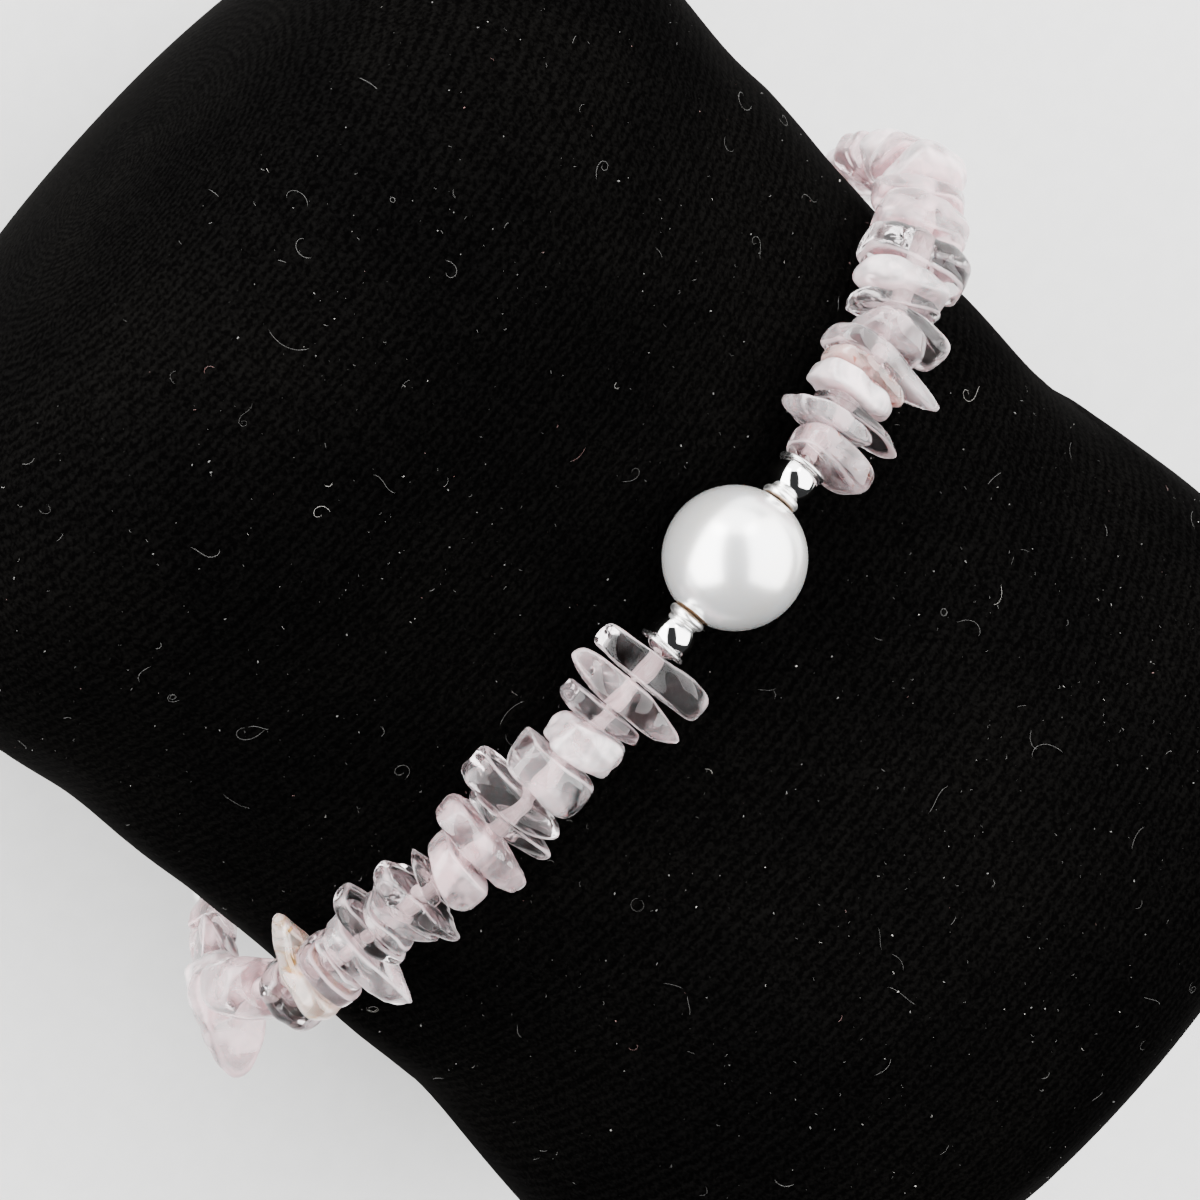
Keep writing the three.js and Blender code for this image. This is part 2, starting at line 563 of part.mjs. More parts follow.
// ---- Materials ----------------------------------------------------------------------------------
const finish = (color, roughness, metalness, extra = {}) =>
  new THREE.MeshStandardMaterial({ color, roughness, metalness, ...extra });
const CLEAR = finish(0xeee9ea, 0.08, 0, { transparent: true, opacity: 0.45 });
const ROSE = finish(0xe9d5da, 0.15, 0, { transparent: true, opacity: 0.8 });
const NACRE = finish(0xeef0f2, 0.25, 0.1);
const SILVER = finish(0xd9dcdf, 0.12, 1);
const THREAD = finish(0xefe8e8, 0.6, 0);
const VELVET = finish(0x0b0a0a, 1, 0);

// ---- The assembly -------------------------------------------------------------------------------
const bracelet = new THREE.Group();

function addMesh(name, geometry, material) {
  const mesh = new THREE.Mesh(geometry, material);
  mesh.name = name;
  bracelet.add(mesh);
  return mesh;
}

// Strings a turned piece on the loop, its own Z along the thread.
function string(name, geometry, material, distance) {
  const mesh = addMesh(name, geometry, material);
  const { point, along } = frameAt(distance);
  mesh.position.copy(point);
  mesh.quaternion.setFromUnitVectors(new THREE.Vector3(0, 0, 1), along);
  return mesh;
}

// Where the bead that ends a strand sits, past the strand's last chip.
const endBeadPlace = (strandEnd) => strandEnd + GAP + END_BEAD.diameter / 2;

addMesh("display_pillow", pillowGeometry(), VELVET);
const pearlProfile = ballProfile(PEARL.diameter, PEARL.bore, PEARL_FACETS.rings);
string("pearl", turned(pearlProfile, PEARL_FACETS.sides), NACRE, 0);

const strands = [
  { hand: "right", side: 1, ...strandChips([RIGHT_CHIPS, ...RIGHT_HIDDEN], 1) },
  { hand: "left", side: -1, ...strandChips([LEFT_CHIPS, ...LEFT_HIDDEN], -1) },
];
const ball = ballProfile(BALL.diameter, BALL.bore, BALL_RINGS);
const endBead = ballProfile(END_BEAD.diameter, END_BEAD.bore, BALL_RINGS);
for (const { hand, side, chips, end } of strands) {
  string(`spacer_${hand}`, torus(SPACER), SILVER, side * SPACER.at);
  string(`ball_${hand}`, turned(ball), SILVER, side * BALL.at);
  string(`washer_${hand}`, torus(WASHER), SILVER, side * WASHER.at);
  chips
    .filter((chip) => chip.stretch === 0)
    .forEach((chip, k) => {
      const stone = chip.milk > ROSE_FROM ? ROSE : CLEAR;
      addMesh(`chip_${hand}_${String(k + 1).padStart(2, "0")}`, chipGeometry(chip), stone);
    });
  const stretches = Math.max(...chips.map((chip) => chip.stretch));
  for (let k = 1; k <= stretches; k += 1) {
    const stretch = chips.filter((chip) => chip.stretch === k);
    const solid = stretch.map((chip) => toSolid(chipGeometry(chip))).reduce((a, b) => a.add(b));
    addMesh(`chips_hidden_${hand}_${k}`, toGeometry(solid), ROSE);
  }
  const bead = endBeadPlace(end);
  string(`end_bead_${hand}`, turned(endBead), SILVER, side * bead);
  const from = bead + END_BEAD.diameter / 2 + GAP;
  const to = (LOOP_LENGTH - SLIDER.length) / 2 + CHAIN.intoSlider;
  addMesh(`chain_${hand}`, tube(side * from, side * to, CHAIN.radius, TUBE_FACETS.chain), SILVER);
}
const [threadEnd, threadStart] = strands.map(({ side, end }) => side * endBeadPlace(end));
addMesh("thread", tube(threadStart, threadEnd, THREAD_RADIUS, TUBE_FACETS.thread), THREAD);
string("slider_bead", turned(sliderProfile(SLIDER)), SILVER, LOOP_LENGTH / 2);

export default bracelet;
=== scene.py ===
"""A chip bead bracelet with one large pearl, worn round the waist of a velvet display pillow.

Shapes are worked out in millimetres and put into the scene in metres, in the frame of the solids:
+Z up, X across the pillow and Y along it. Each sub-assembly is a class that builds its own pieces
and dresses them, and each finish is a class that makes its own material.
"""

import logging
import math
from dataclasses import dataclass, field
from enum import Enum
from functools import cached_property

import bmesh
import bpy
import numpy as np
from mathutils import Matrix, Vector
from mathutils.bvhtree import BVHTree


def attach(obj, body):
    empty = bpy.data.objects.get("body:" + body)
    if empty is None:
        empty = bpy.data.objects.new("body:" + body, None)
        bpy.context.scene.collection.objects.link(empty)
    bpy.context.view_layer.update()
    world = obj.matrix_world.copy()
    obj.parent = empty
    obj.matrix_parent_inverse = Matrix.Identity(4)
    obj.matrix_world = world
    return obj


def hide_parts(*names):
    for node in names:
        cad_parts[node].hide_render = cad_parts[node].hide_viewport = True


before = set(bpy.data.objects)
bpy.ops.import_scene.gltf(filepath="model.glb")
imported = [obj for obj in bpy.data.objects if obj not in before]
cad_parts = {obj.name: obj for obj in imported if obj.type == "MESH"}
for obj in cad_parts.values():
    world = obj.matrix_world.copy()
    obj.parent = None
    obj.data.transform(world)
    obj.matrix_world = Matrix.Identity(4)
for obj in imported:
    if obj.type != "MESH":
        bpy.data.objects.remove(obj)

log = logging.getLogger("bracelet")

MM = 0.001  # a millimetre in the scene's metres
ROOT = "root"  # the one body that everything rides on
RIB_LINES = "rib_lines"  # the pillow's attribute that its ribs follow
WORN_EDGES = "worn_edges"  # a chip's attribute, above 0 where its flats meet

Array = np.ndarray
Colour = tuple[float, float, float]
Material = bpy.types.Material
Socket = bpy.types.NodeSocket


# ---- Mesh making --------------------------------------------------------------------------------
@dataclass
class Shell:
    """A surface as whole arrays: points in millimetres, four-cornered faces and a finish of each.

    edges says how much of an edge each point lies on, and is 0 all over on most pieces.
    """

    points: Array
    faces: Array
    finishes: Array
    edges: Array

    @classmethod
    def from_grid(
        cls, grid: Array, wrap_rows: bool = True, wrap_columns: bool = True, flip: bool = False
    ) -> "Shell":
        """Joins a grid of points into faces.

        Args:
            grid: points of shape (rows, columns, 3).
            wrap_rows: whether the last row joins the first.
            wrap_columns: whether the last column joins the first.
            flip: whether to turn the faces round, so that they face outwards.

        Returns:
            The shell, with finish 0 and no edges all over.
        """
        rows, columns = grid.shape[:2]
        row = np.arange(rows if wrap_rows else rows - 1)[:, None]
        column = np.arange(columns if wrap_columns else columns - 1)[None, :]
        below, right = (row + 1) % rows, (column + 1) % columns
        corners = [
            row * columns + column,
            below * columns + column,
            below * columns + right,
            row * columns + right,
        ]
        faces = np.stack(corners[::-1] if flip else corners, axis=-1).reshape(-1, 4)
        finishes = np.zeros(len(faces), dtype=np.int32)
        return cls(grid.reshape(-1, 3), faces, finishes, np.zeros(rows * columns))

    @classmethod
    def joined(cls, shells: list["Shell"]) -> "Shell":
        """One shell out of several that don't touch.

        Args:
            shells: the shells to put together.

        Returns:
            A shell that holds them all.
        """
        starts = np.cumsum([0] + [len(shell.points) for shell in shells[:-1]])
        return cls(
            np.concatenate([shell.points for shell in shells]),
            np.concatenate([shell.faces + start for shell, start in zip(shells, starts)]),
            np.concatenate([shell.finishes for shell in shells]),
            np.concatenate([shell.edges for shell in shells]),
        )

    def piece(self, name: str, materials: list[Material]) -> bpy.types.Object:
        """Puts the shell into the scene.

        Args:
            name: the piece's name.
            materials: its materials, in the order that the finishes count.

        Returns:
            The new object, smooth all over and at the origin.
        """
        mesh = bpy.data.meshes.new(name)
        mesh.vertices.add(len(self.points))
        mesh.vertices.foreach_set("co", (self.points * MM).astype(np.float32).ravel())
        mesh.loops.add(self.faces.size)
        mesh.loops.foreach_set("vertex_index", self.faces.astype(np.int32).ravel())
        mesh.polygons.add(len(self.faces))
        mesh.polygons.foreach_set("loop_start", np.arange(0, self.faces.size, 4, dtype=np.int32))
        mesh.polygons.foreach_set("material_index", self.finishes.astype(np.int32))
        mesh.update(calc_edges=True)
        mesh.shade_smooth()
        if self.edges.any():
            attribute = mesh.attributes.new(WORN_EDGES, "FLOAT", "POINT")
            attribute.data.foreach_set("value", self.edges.astype(np.float32))
        for material in materials:
            mesh.materials.append(material)
        piece = bpy.data.objects.new(name, mesh)
        bpy.context.scene.collection.objects.link(piece)
        return piece


def place_piece(piece: bpy.types.Object, slot: str, *nodes: str) -> None:
    """Puts a piece on the body that it rides on, and hides the solids that it stands for.

    Args:
        piece: the piece.
        slot: not used.
        nodes: the names of the solids that it replaces, if any.
    """
    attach(piece, ROOT)
    if nodes:
        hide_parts(*nodes)
    log.info("%s: %d faces", piece.name, len(piece.data.polygons))


def smoothstep(t: Array) -> Array:
    """A smooth step from 0 to 1 as t goes from 0 to 1: t^2 (3 - 2 t)."""
    x = np.clip(t, 0.0, 1.0)
    return x * x * (3.0 - 2.0 * x)


def unit(vectors: Array) -> Array:
    """Vectors of length 1 with the same directions."""
    return vectors / np.linalg.norm(vectors, axis=-1, keepdims=True)


def tube(line: Array, first: Array, second: Array, radius: Array, turn: Array) -> Array:
    """A tube along a line: line + radius (first cos u + second sin u), at each turn u round it.

    Args:
        line: the points of its centre line, of shape (n, 3).
        first: a direction across it at each of them.
        second: the one square to both.
        radius: its radius, of a shape that fits (n, turns).
        turn: the angles u.

    Returns:
        The points, of shape (n, turns, 3).
    """
    return (
        line[:, None]
        + (radius * np.cos(turn))[..., None] * first[:, None]
        + (radius * np.sin(turn))[..., None] * second[:, None]
    )


# ---- The loop -----------------------------------------------------------------------------------
@dataclass(frozen=True)
class Places:
    """Points on the loop, with its direction and its outward normal at each."""

    point: Array
    along: Array
    outward: Array


@dataclass(frozen=True)
class Loop:
    """The closed line of the thread: a superellipse that stands upright across the pillow.

    Its point at an angle a is (half_width r cos a, y, z + half_height r sin a), where r is
    (|cos a|^p + |sin a|^p)^(-1/p), and p is one power above the middle height and one below.
    """

    half_width: float = 38.2
    half_height: float = 23.5
    power_above: float = 2.2
    power_below: float = 1.8
    y: float = -6.1
    z: float = 26.0
    pearl_angle: float = 102.0
    steps: int = 1440

    @cached_property
    def points(self) -> Array:
        """The loop's points, from the pearl round towards +X and back to it.

        Returns:
            The points, of shape (steps + 1, 3).
        """
        angle = math.radians(self.pearl_angle) - np.linspace(0, 2 * math.pi, self.steps + 1)
        c, s = np.cos(angle), np.sin(angle)
        power = np.where(s > 0, self.power_above, self.power_below)
        reach = (np.abs(c) ** power + np.abs(s) ** power) ** (-1 / power)
        x = self.half_width * reach * c
        z = self.z + self.half_height * reach * s
        return np.stack([x, np.full_like(x, self.y), z], axis=-1)

    @cached_property
    def lengths(self) -> Array:
        """The distance of each point from the pearl, along the loop."""
        steps = np.linalg.norm(np.diff(self.points, axis=0), axis=1)
        return np.concatenate([[0.0], np.cumsum(steps)])

    @property
    def length(self) -> float:
        """The length of the whole loop."""
        return float(self.lengths[-1])

    def at(self, distance: Array | float) -> Places:
        """Places at distances from the pearl, positive towards +X.

        Args:
            distance: one distance or an array of them, in millimetres.

        Returns:
            The places, with arrays of shape (..., 3).
        """
        wrapped = np.mod(distance, self.length)
        i = np.clip(np.searchsorted(self.lengths, wrapped), 1, self.steps)
        start, end = self.points[i - 1], self.points[i]
        share = (wrapped - self.lengths[i - 1]) / (self.lengths[i] - self.lengths[i - 1])
        along = unit(end - start)
        outward = np.stack([-along[..., 2], np.zeros_like(along[..., 0]), along[..., 0]], axis=-1)
        return Places(start + np.expand_dims(share, -1) * (end - start), along, outward)

    def strung(self, grid: Array, distance: float) -> Array:
        """Carries a turned piece's points to its place on the loop, its own Z along the thread.

        Args:
            grid: points of the piece about its own middle, of shape (..., 3).
            distance: its place along the thread, from the pearl's centre.

        Returns:
            The points in the model's frame.
        """
        place = self.at(distance)
        across = np.cross(place.along, place.outward)
        axes = np.stack([place.outward, across, place.along])
        return place.point + grid @ axes


# ---- Finishes -----------------------------------------------------------------------------------
WAVE_TURN = 20.0  # how far a wave texture turns in one unit of its coordinates, in radians
MIX_FIRST, MIX_SECOND, MIX_RESULT = 6, 7, 2  # the colour sockets of a mix node


class Repeat(Enum):
    """The directions along which ribs can repeat."""

    ACROSS = "X"
    DIAGONAL = "DIAGONAL"


class Graph:
    """A material's node tree, with its shader and its object coordinates at hand."""

    def __init__(self, name: str) -> None:
        """Starts a material with one principled shader.

        Args:
            name: the material's name.
        """
        self.material = bpy.data.materials.new(name)
        self.material.use_nodes = True
        self.tree = self.material.node_tree
        self.tree.nodes.clear()
        output = self.add("ShaderNodeOutputMaterial")
        self.shader = self.add("ShaderNodeBsdfPrincipled")
        self.link(self.shader.outputs["BSDF"], output.inputs["Surface"])
        self.place = self.add("ShaderNodeTexCoord").outputs["Object"]

    def add(self, kind: str, **settings: object) -> bpy.types.Node:
        """Adds a node.

        Args:
            kind: the node's type.
            settings: its properties by name.

        Returns:
            The node.
        """
        node = self.tree.nodes.new(kind)
        for name, value in settings.items():
            setattr(node, name, value)
        return node

    def link(self, output: Socket, socket: Socket) -> None:
        """Joins an output to an input."""
        self.tree.links.new(output, socket)

    def set(self, **values: object) -> None:
        """Sets constants on the shader's own sockets, named with _ for a space."""
        for name, value in values.items():
            self.shader.inputs[name.replace("_", " ")].default_value = value

    def noise(self, per_mm: float, detail: float = 4.0, warp: float = 0.0) -> Socket:
        """A noise over the piece.

        Args:
            per_mm: how many of its features fit in a millimetre.
            detail: how many finer layers it has.
            warp: how much it is distorted.

        Returns:
            Its value, about 0.5 on average.
        """
        node = self.add("ShaderNodeTexNoise")
        node.inputs["Scale"].default_value = per_mm / MM
        node.inputs["Detail"].default_value = detail
        node.inputs["Distortion"].default_value = warp
        self.link(self.place, node.inputs["Vector"])
        return node.outputs["Fac"]

    def stored(self, attribute: str) -> Socket:
        """A number that the piece stores at each of its points."""
        return self.add("ShaderNodeAttribute", attribute_name=attribute).outputs["Fac"]

    def larger(self, first: Socket, second: Socket) -> Socket:
        """The larger of two values.

        Args:
            first: a value.
            second: another one.

        Returns:
            Whichever is larger.
        """
        node = self.add("ShaderNodeMath", operation="MAXIMUM")
        self.link(first, node.inputs[0])
        self.link(second, node.inputs[1])
        return node.outputs[0]

    def rest(self, value: Socket) -> Socket:
        """What is left of 1 beyond a value.

        Args:
            value: the value.

        Returns:
            1 - value.
        """
        node = self.add("ShaderNodeMath", operation="SUBTRACT")
        node.inputs[0].default_value = 1.0
        self.link(value, node.inputs[1])
        return node.outputs[0]

    def laid(self, attribute: str) -> Socket:
        """The object coordinates with a piece's own attribute in place of X, and X and Z after it.

        Args:
            attribute: the name of the attribute, a length in metres at each point.

        Returns:
            The coordinates.
        """
        parts = self.add("ShaderNodeSeparateXYZ")
        joined = self.add("ShaderNodeCombineXYZ")
        self.link(self.place, parts.inputs["Vector"])
        self.link(self.stored(attribute), joined.inputs["X"])
        self.link(parts.outputs["X"], joined.inputs["Y"])
        self.link(parts.outputs["Z"], joined.inputs["Z"])
        return joined.outputs["Vector"]

    def waves(
        self, per_mm: float, direction: Repeat, warp: float, place: Socket | None = None
    ) -> Socket:
        """Parallel ribs over the piece.

        Args:
            per_mm: how many ribs fit in a millimetre.
            direction: how they repeat.
            warp: how much they wander.
            place: the coordinates that they follow, if not the object's.

        Returns:
            Their height, from 0 to 1.
        """
        node = self.add("ShaderNodeTexWave", bands_direction=direction.value)
        node.inputs["Scale"].default_value = per_mm / MM * 2 * math.pi / WAVE_TURN
        node.inputs["Distortion"].default_value = warp
        node.inputs["Detail"].default_value = 2.0
        node.inputs["Detail Scale"].default_value = 3.0
        self.link(place or self.place, node.inputs["Vector"])
        return node.outputs["Fac"]

    def ramp(self, value: Socket, *stops: tuple[float, Colour | float]) -> Socket:
        """A colour or a grey for each value.

        Args:
            value: what to look up.
            stops: places from 0 to 1, each with its colour or grey.

        Returns:
            The colour.
        """
        node = self.add("ShaderNodeValToRGB")
        elements = node.color_ramp.elements
        while len(elements) < len(stops):
            elements.new(0.5)
        for element, (place, colour) in zip(elements, stops):
            rgb = (colour,) * 3 if isinstance(colour, float) else colour
            element.position = place
            element.color = (*rgb, 1.0)
        self.link(value, node.inputs["Fac"])
        return node.outputs["Color"]

    def mix(self, share: Socket, first: Socket | Colour, second: Socket | Colour) -> Socket:
        """A blend of two colours.

        Args:
            share: how much of the second, from 0 to 1.
            first: a colour, or where it comes from.
            second: the other one.

        Returns:
            The blended colour.
        """
        node = self.add("ShaderNodeMix", data_type="RGBA")
        self.link(share, node.inputs["Factor"])
        sockets = node.inputs[MIX_FIRST], node.inputs[MIX_SECOND]
        for socket, colour in zip(sockets, (first, second)):
            if isinstance(colour, tuple):
                socket.default_value = (*colour, 1.0)
            else:
                self.link(colour, socket)
        return node.outputs[MIX_RESULT]

    def times(self, first: Socket, second: Socket) -> Socket:
        """Two colours multiplied.

        Args:
            first: a colour.
            second: another one.

        Returns:
            first * second.
        """
        node = self.add("ShaderNodeMix", data_type="RGBA", blend_type="MULTIPLY")
        node.inputs["Factor"].default_value = 1.0
        self.link(first, node.inputs[MIX_FIRST])
        self.link(second, node.inputs[MIX_SECOND])
        return node.outputs[MIX_RESULT]

    def sum(self, first: Socket, second: Socket, weight: float) -> Socket:
        """The first value with a share of the second added.

        Args:
            first: a value.
            second: another one.
            weight: how much of the second is added.

        Returns:
            first + weight * second.
        """
        node = self.add("ShaderNodeMath", operation="MULTIPLY_ADD")
        self.link(second, node.inputs[0])
        node.inputs[1].default_value = weight
        self.link(first, node.inputs[2])
        return node.outputs[0]

    def scaled(self, value: Socket, weight: float) -> Socket:
        """The value times a weight.

        Args:
            value: the value.
            weight: the weight.

        Returns:
            weight * value.
        """
        node = self.add("ShaderNodeMath", operation="MULTIPLY")
        self.link(value, node.inputs[0])
        node.inputs[1].default_value = weight
        return node.outputs[0]

    def bump(self, height: Socket, depth_mm: float, strength: float) -> None:
        """Raises the surface by a height from 0 to 1.

        Args:
            height: the height.
            depth_mm: how high 1 stands.
            strength: how much of it shows.
        """
        node = self.add("ShaderNodeBump")
        node.inputs["Strength"].default_value = strength
        node.inputs["Distance"].default_value = depth_mm * MM
        self.link(height, node.inputs["Height"])
        self.link(node.outputs["Normal"], self.shader.inputs["Normal"])


@dataclass(frozen=True)
class Velvet:
    """Black velvet: fine ribs across the pillow, a short pile and a pale fuzz at grazing angles."""

    # shade colours the nap where it lies low and worn colours its crests: painted shade that
    # follows the bump's height
    shade: Colour = (0.0006, 0.00055, 0.00055)
    worn: Colour = (0.0021, 0.0020, 0.0019)
    ribs_per_mm: float = 1.18
    rib_wander: float = 2.4
    rib_share: float = 0.12  # of the nap's height, the rest being its pile
    pile_per_mm: float = 3.4
    sweeps_per_mm: float = 0.06
    nap_mm: float = 0.12
    fuzz: float = 0.012

    def material(self) -> Material:
        """Makes the material.

        Returns:
            The new material.
        """
        graph = Graph("velvet")
        graph.set(
            Roughness=1.0,
            Specular_IOR_Level=0.0,
            Sheen_Weight=self.fuzz,
            Sheen_Roughness=0.28,
            Sheen_Tint=(0.9, 0.88, 0.86, 1.0),
        )
        laid = graph.laid(RIB_LINES)
        ribs = graph.waves(self.ribs_per_mm, Repeat.ACROSS, self.rib_wander, laid)
        pile = graph.noise(self.pile_per_mm, detail=8.0, warp=0.3)
        sweeps = graph.noise(self.sweeps_per_mm, detail=3.0, warp=0.6)
        height = graph.sum(graph.scaled(ribs, self.rib_share), pile, 1.0 - self.rib_share)
        # darker where ribs and pile lie low, lighter on their crests: painted shade of the nap's
        # relief
        painted_nap_shade = graph.mix(graph.ramp(height, (0.40, 0.0), (0.66, 1.0)), self.shade, self.worn)
        swept = graph.ramp(sweeps, (0.35, (0.7, 0.7, 0.72)), (0.65, (1.0, 0.99, 0.97)))
        graph.link(graph.times(painted_nap_shade, swept), graph.shader.inputs["Base Color"])
        graph.bump(height, depth_mm=self.nap_mm, strength=0.35)
        return graph.material


@dataclass(frozen=True)
class Nacre:
    """White nacre: smooth and lustrous, with a soft second gloss under the first."""

    name: str = "nacre"
    colour: Colour = (0.83, 0.835, 0.84)
    warm: Colour = (0.82, 0.80, 0.77)
    lustre: float = 0.68  # how much it gleams as metal does
    clouds_per_mm: float = 0.25

    def material(self) -> Material:
        """Makes the material.

        Returns:
            The new material.
        """
        graph = Graph(self.name)
        graph.set(
            Metallic=self.lustre,
            Roughness=0.27,
            Specular_IOR_Level=0.8,
            Coat_Weight=0.8,
            Coat_Roughness=0.2,
            Coat_IOR=1.6,
            Subsurface_Weight=0.25,
            Subsurface_Radius=(0.0012, 0.001, 0.0009),
            Subsurface_Scale=1.0,
        )
        clouds = graph.noise(self.clouds_per_mm, detail=3.0, warp=0.5)
        colour = graph.mix(graph.ramp(clouds, (0.4, 0.0), (0.7, 1.0)), self.colour, self.warm)
        graph.link(colour, graph.shader.inputs["Base Color"])
        graph.bump(graph.noise(1.2, detail=4.0), depth_mm=0.01, strength=0.25)
        return graph.material


@dataclass(frozen=True)
class Silver:
    """Polished silver plate, with faint hairlines and a roughness that varies a little."""

    name: str = "silver"
    colour: Colour = (0.90, 0.895, 0.885)
    polish: float = 0.05  # its roughness where it is smoothest
    wear: float = 0.10  # and where it is most worn

    def material(self) -> Material:
        """Makes the material.

        Returns:
            The new material.
        """
        graph = Graph(self.name)
        graph.set(Base_Color=(*self.colour, 1.0), Metallic=1.0)
        marks = graph.noise(2.5, detail=5.0, warp=1.5)
        rough = graph.ramp(marks, (0.35, self.polish), (0.75, self.wear))
        graph.link(rough, graph.shader.inputs["Roughness"])
        graph.bump(graph.noise(3.0, detail=3.0, warp=3.0), depth_mm=0.01, strength=0.12)
        return graph.material


@dataclass(frozen=True)
class Quartz:
    """A tumbled quartz: clear where light passes, with milky clouds and stained veins in it."""

    name: str
    clear: Colour  # its tint where it is clear
    milk: Colour  # the colour of its clouds
    least: float  # how cloudy it is where it is clearest, from 0 to 1
    most: float  # and where it is cloudiest
    clouds_per_mm: float = 0.35
    cloud_span: tuple[float, float] = (0.36, 0.64)  # where its clouds begin and are thickest
    stain: Colour | None = None
    stains_per_mm: float = 0.3
    stain_from: float = 0.62  # the lower, the more of it is stained
    stain_blend: float = 0.08
    veils_per_mm: float = 0.6
    veil_span: tuple[float, float] = (0.54, 0.68)
    veil: float = 0.45  # how strong the thin veils in it are
    veil_weight: float = 0.2  # how much they add to its clouds
    haze: float = 0.07  # how much it blurs what is seen through it
    rim: float = 0.55  # how bright its edges are
    gloss: float = 0.6  # how much of a sharp gloss lies over that
    edge: float = 0.36  # how cloudy its worn edges are
    edge_span: tuple[float, float] = (0.11, 0.22)  # where they begin and are cloudiest
    mirror: float = 0.8  # how much it mirrors face on, as a share of what quartz does

    def cloudiness(self, graph: Graph) -> Socket:
        """Where the stone is cloudy: clouds with thin veils in them, and its worn edges.

        Args:
            graph: the material's nodes.

        Returns:
            From 0, clear, to 1, solid milk.
        """
        body = graph.noise(self.clouds_per_mm, detail=2.0, warp=0.6)
        veil_from, veil_to = self.veil_span
        veils = graph.noise(self.veils_per_mm, detail=4.0, warp=1.4)
        veiled = graph.ramp(veils, (veil_from, 0.0), (veil_to, self.veil))
        clouds = graph.sum(body, veiled, self.veil_weight)
        cloud_from, cloud_to = self.cloud_span
        cloudy = graph.ramp(clouds, (cloud_from, self.least), (cloud_to, self.most))
        edge_from, edge_to = self.edge_span
        worn = graph.ramp(graph.stored(WORN_EDGES), (edge_from, 0.0), (edge_to, self.edge))
        return graph.larger(cloudy, worn)

    def material(self) -> Material:
        """Makes the material.

        Returns:
            The new material.
        """
        graph = Graph(self.name)
        graph.set(
            IOR=1.54,
            Specular_IOR_Level=0.35,
            Specular_Tint=(self.mirror, self.mirror, self.mirror, 1.0),
            Coat_Weight=self.gloss,
            Coat_Roughness=0.02,
            Coat_IOR=1.45,
            Sheen_Weight=self.rim,
            Sheen_Roughness=0.18,
            Sheen_Tint=(1.0, 0.93, 0.94, 1.0),
            Subsurface_Weight=0.6,
            Subsurface_Radius=(0.0016, 0.0012, 0.0012),
            Subsurface_Scale=1.0,
        )
        share = self.cloudiness(graph)
        colour = graph.mix(share, self.clear, self.milk)
        if self.stain:
            veins = graph.noise(self.stains_per_mm, detail=4.0, warp=1.8)
            stained_at = self.stain_from + self.stain_blend
            stained = graph.ramp(veins, (self.stain_from, 0.0), (stained_at, 1.0))
            colour = graph.mix(stained, colour, self.stain)
        graph.link(colour, graph.shader.inputs["Base Color"])
        graph.link(graph.rest(share), graph.shader.inputs["Transmission Weight"])
        marks = graph.noise(1.6, detail=4.0, warp=0.5)
        rough = graph.ramp(marks, (0.5, self.haze), (0.8, self.haze + 0.08))
        graph.link(rough, graph.shader.inputs["Roughness"])
        graph.bump(graph.noise(0.9, detail=3.0, warp=0.6), depth_mm=0.05, strength=0.2)
        return graph.material


@dataclass(frozen=True)
class Frosted:
    """The ground wall of a drilled bore, white with stone dust."""

    colour: Colour = (0.84, 0.62, 0.64)
    dust: Colour = (0.90, 0.76, 0.77)
    dust_per_mm: float = 3.0

    def material(self) -> Material:
        """Makes the material.

        Returns:
            The new material.
        """
        graph = Graph("frosted_bore")
        graph.set(Roughness=0.7, IOR=1.5, Transmission_Weight=0.35)
        grain = graph.noise(self.dust_per_mm, detail=5.0)
        colour = graph.mix(graph.ramp(grain, (0.4, 0.0), (0.7, 1.0)), self.colour, self.dust)
        graph.link(colour, graph.shader.inputs["Base Color"])
        graph.bump(grain, depth_mm=0.05, strength=0.6)
        return graph.material


@dataclass(frozen=True)
class Fibre:
    """Fine spun fibre, such as the thread and the lint on the velvet, painted darker in the grooves
    of its twist as painted shade.
    """

    name: str
    colour: Colour
    # its colour in the grooves of its twist: painted shade
    groove_shade: Colour
    twists_per_mm: float = 3.0

    def material(self) -> Material:
        """Makes the material.

        Returns:
            The new material.
        """
        graph = Graph(self.name)
        graph.set(Roughness=0.75, Sheen_Weight=0.3, Sheen_Roughness=0.5)
        twist = graph.waves(self.twists_per_mm, Repeat.DIAGONAL, 1.0)
        # the twist's grooves take the darker colour: painted shade
        graph.link(graph.mix(twist, self.groove_shade, self.colour), graph.shader.inputs["Base Color"])
        graph.bump(twist, depth_mm=0.03, strength=0.5)
        return graph.material


@dataclass(frozen=True)
class Paper:
    """The pale sheet that everything lies on."""

    colour: Colour = (0.64, 0.64, 0.635)
    grains_per_mm: float = 0.5
    grain_tone: float = 0.97  # its shade in its grain, as a share of its own

    def material(self) -> Material:
        """Makes the material.

        Returns:
            The new material.
        """
        graph = Graph("pale_sheet")
        graph.set(Roughness=0.85, Specular_IOR_Level=0.2)
        grain = graph.noise(self.grains_per_mm, detail=6.0)
        shade = tuple(self.grain_tone * channel for channel in self.colour)
        colour = graph.mix(graph.ramp(grain, (0.4, 0.0), (0.6, 1.0)), shade, self.colour)
        graph.link(colour, graph.shader.inputs["Base Color"])
        graph.bump(grain, depth_mm=0.02, strength=0.2)
        return graph.material


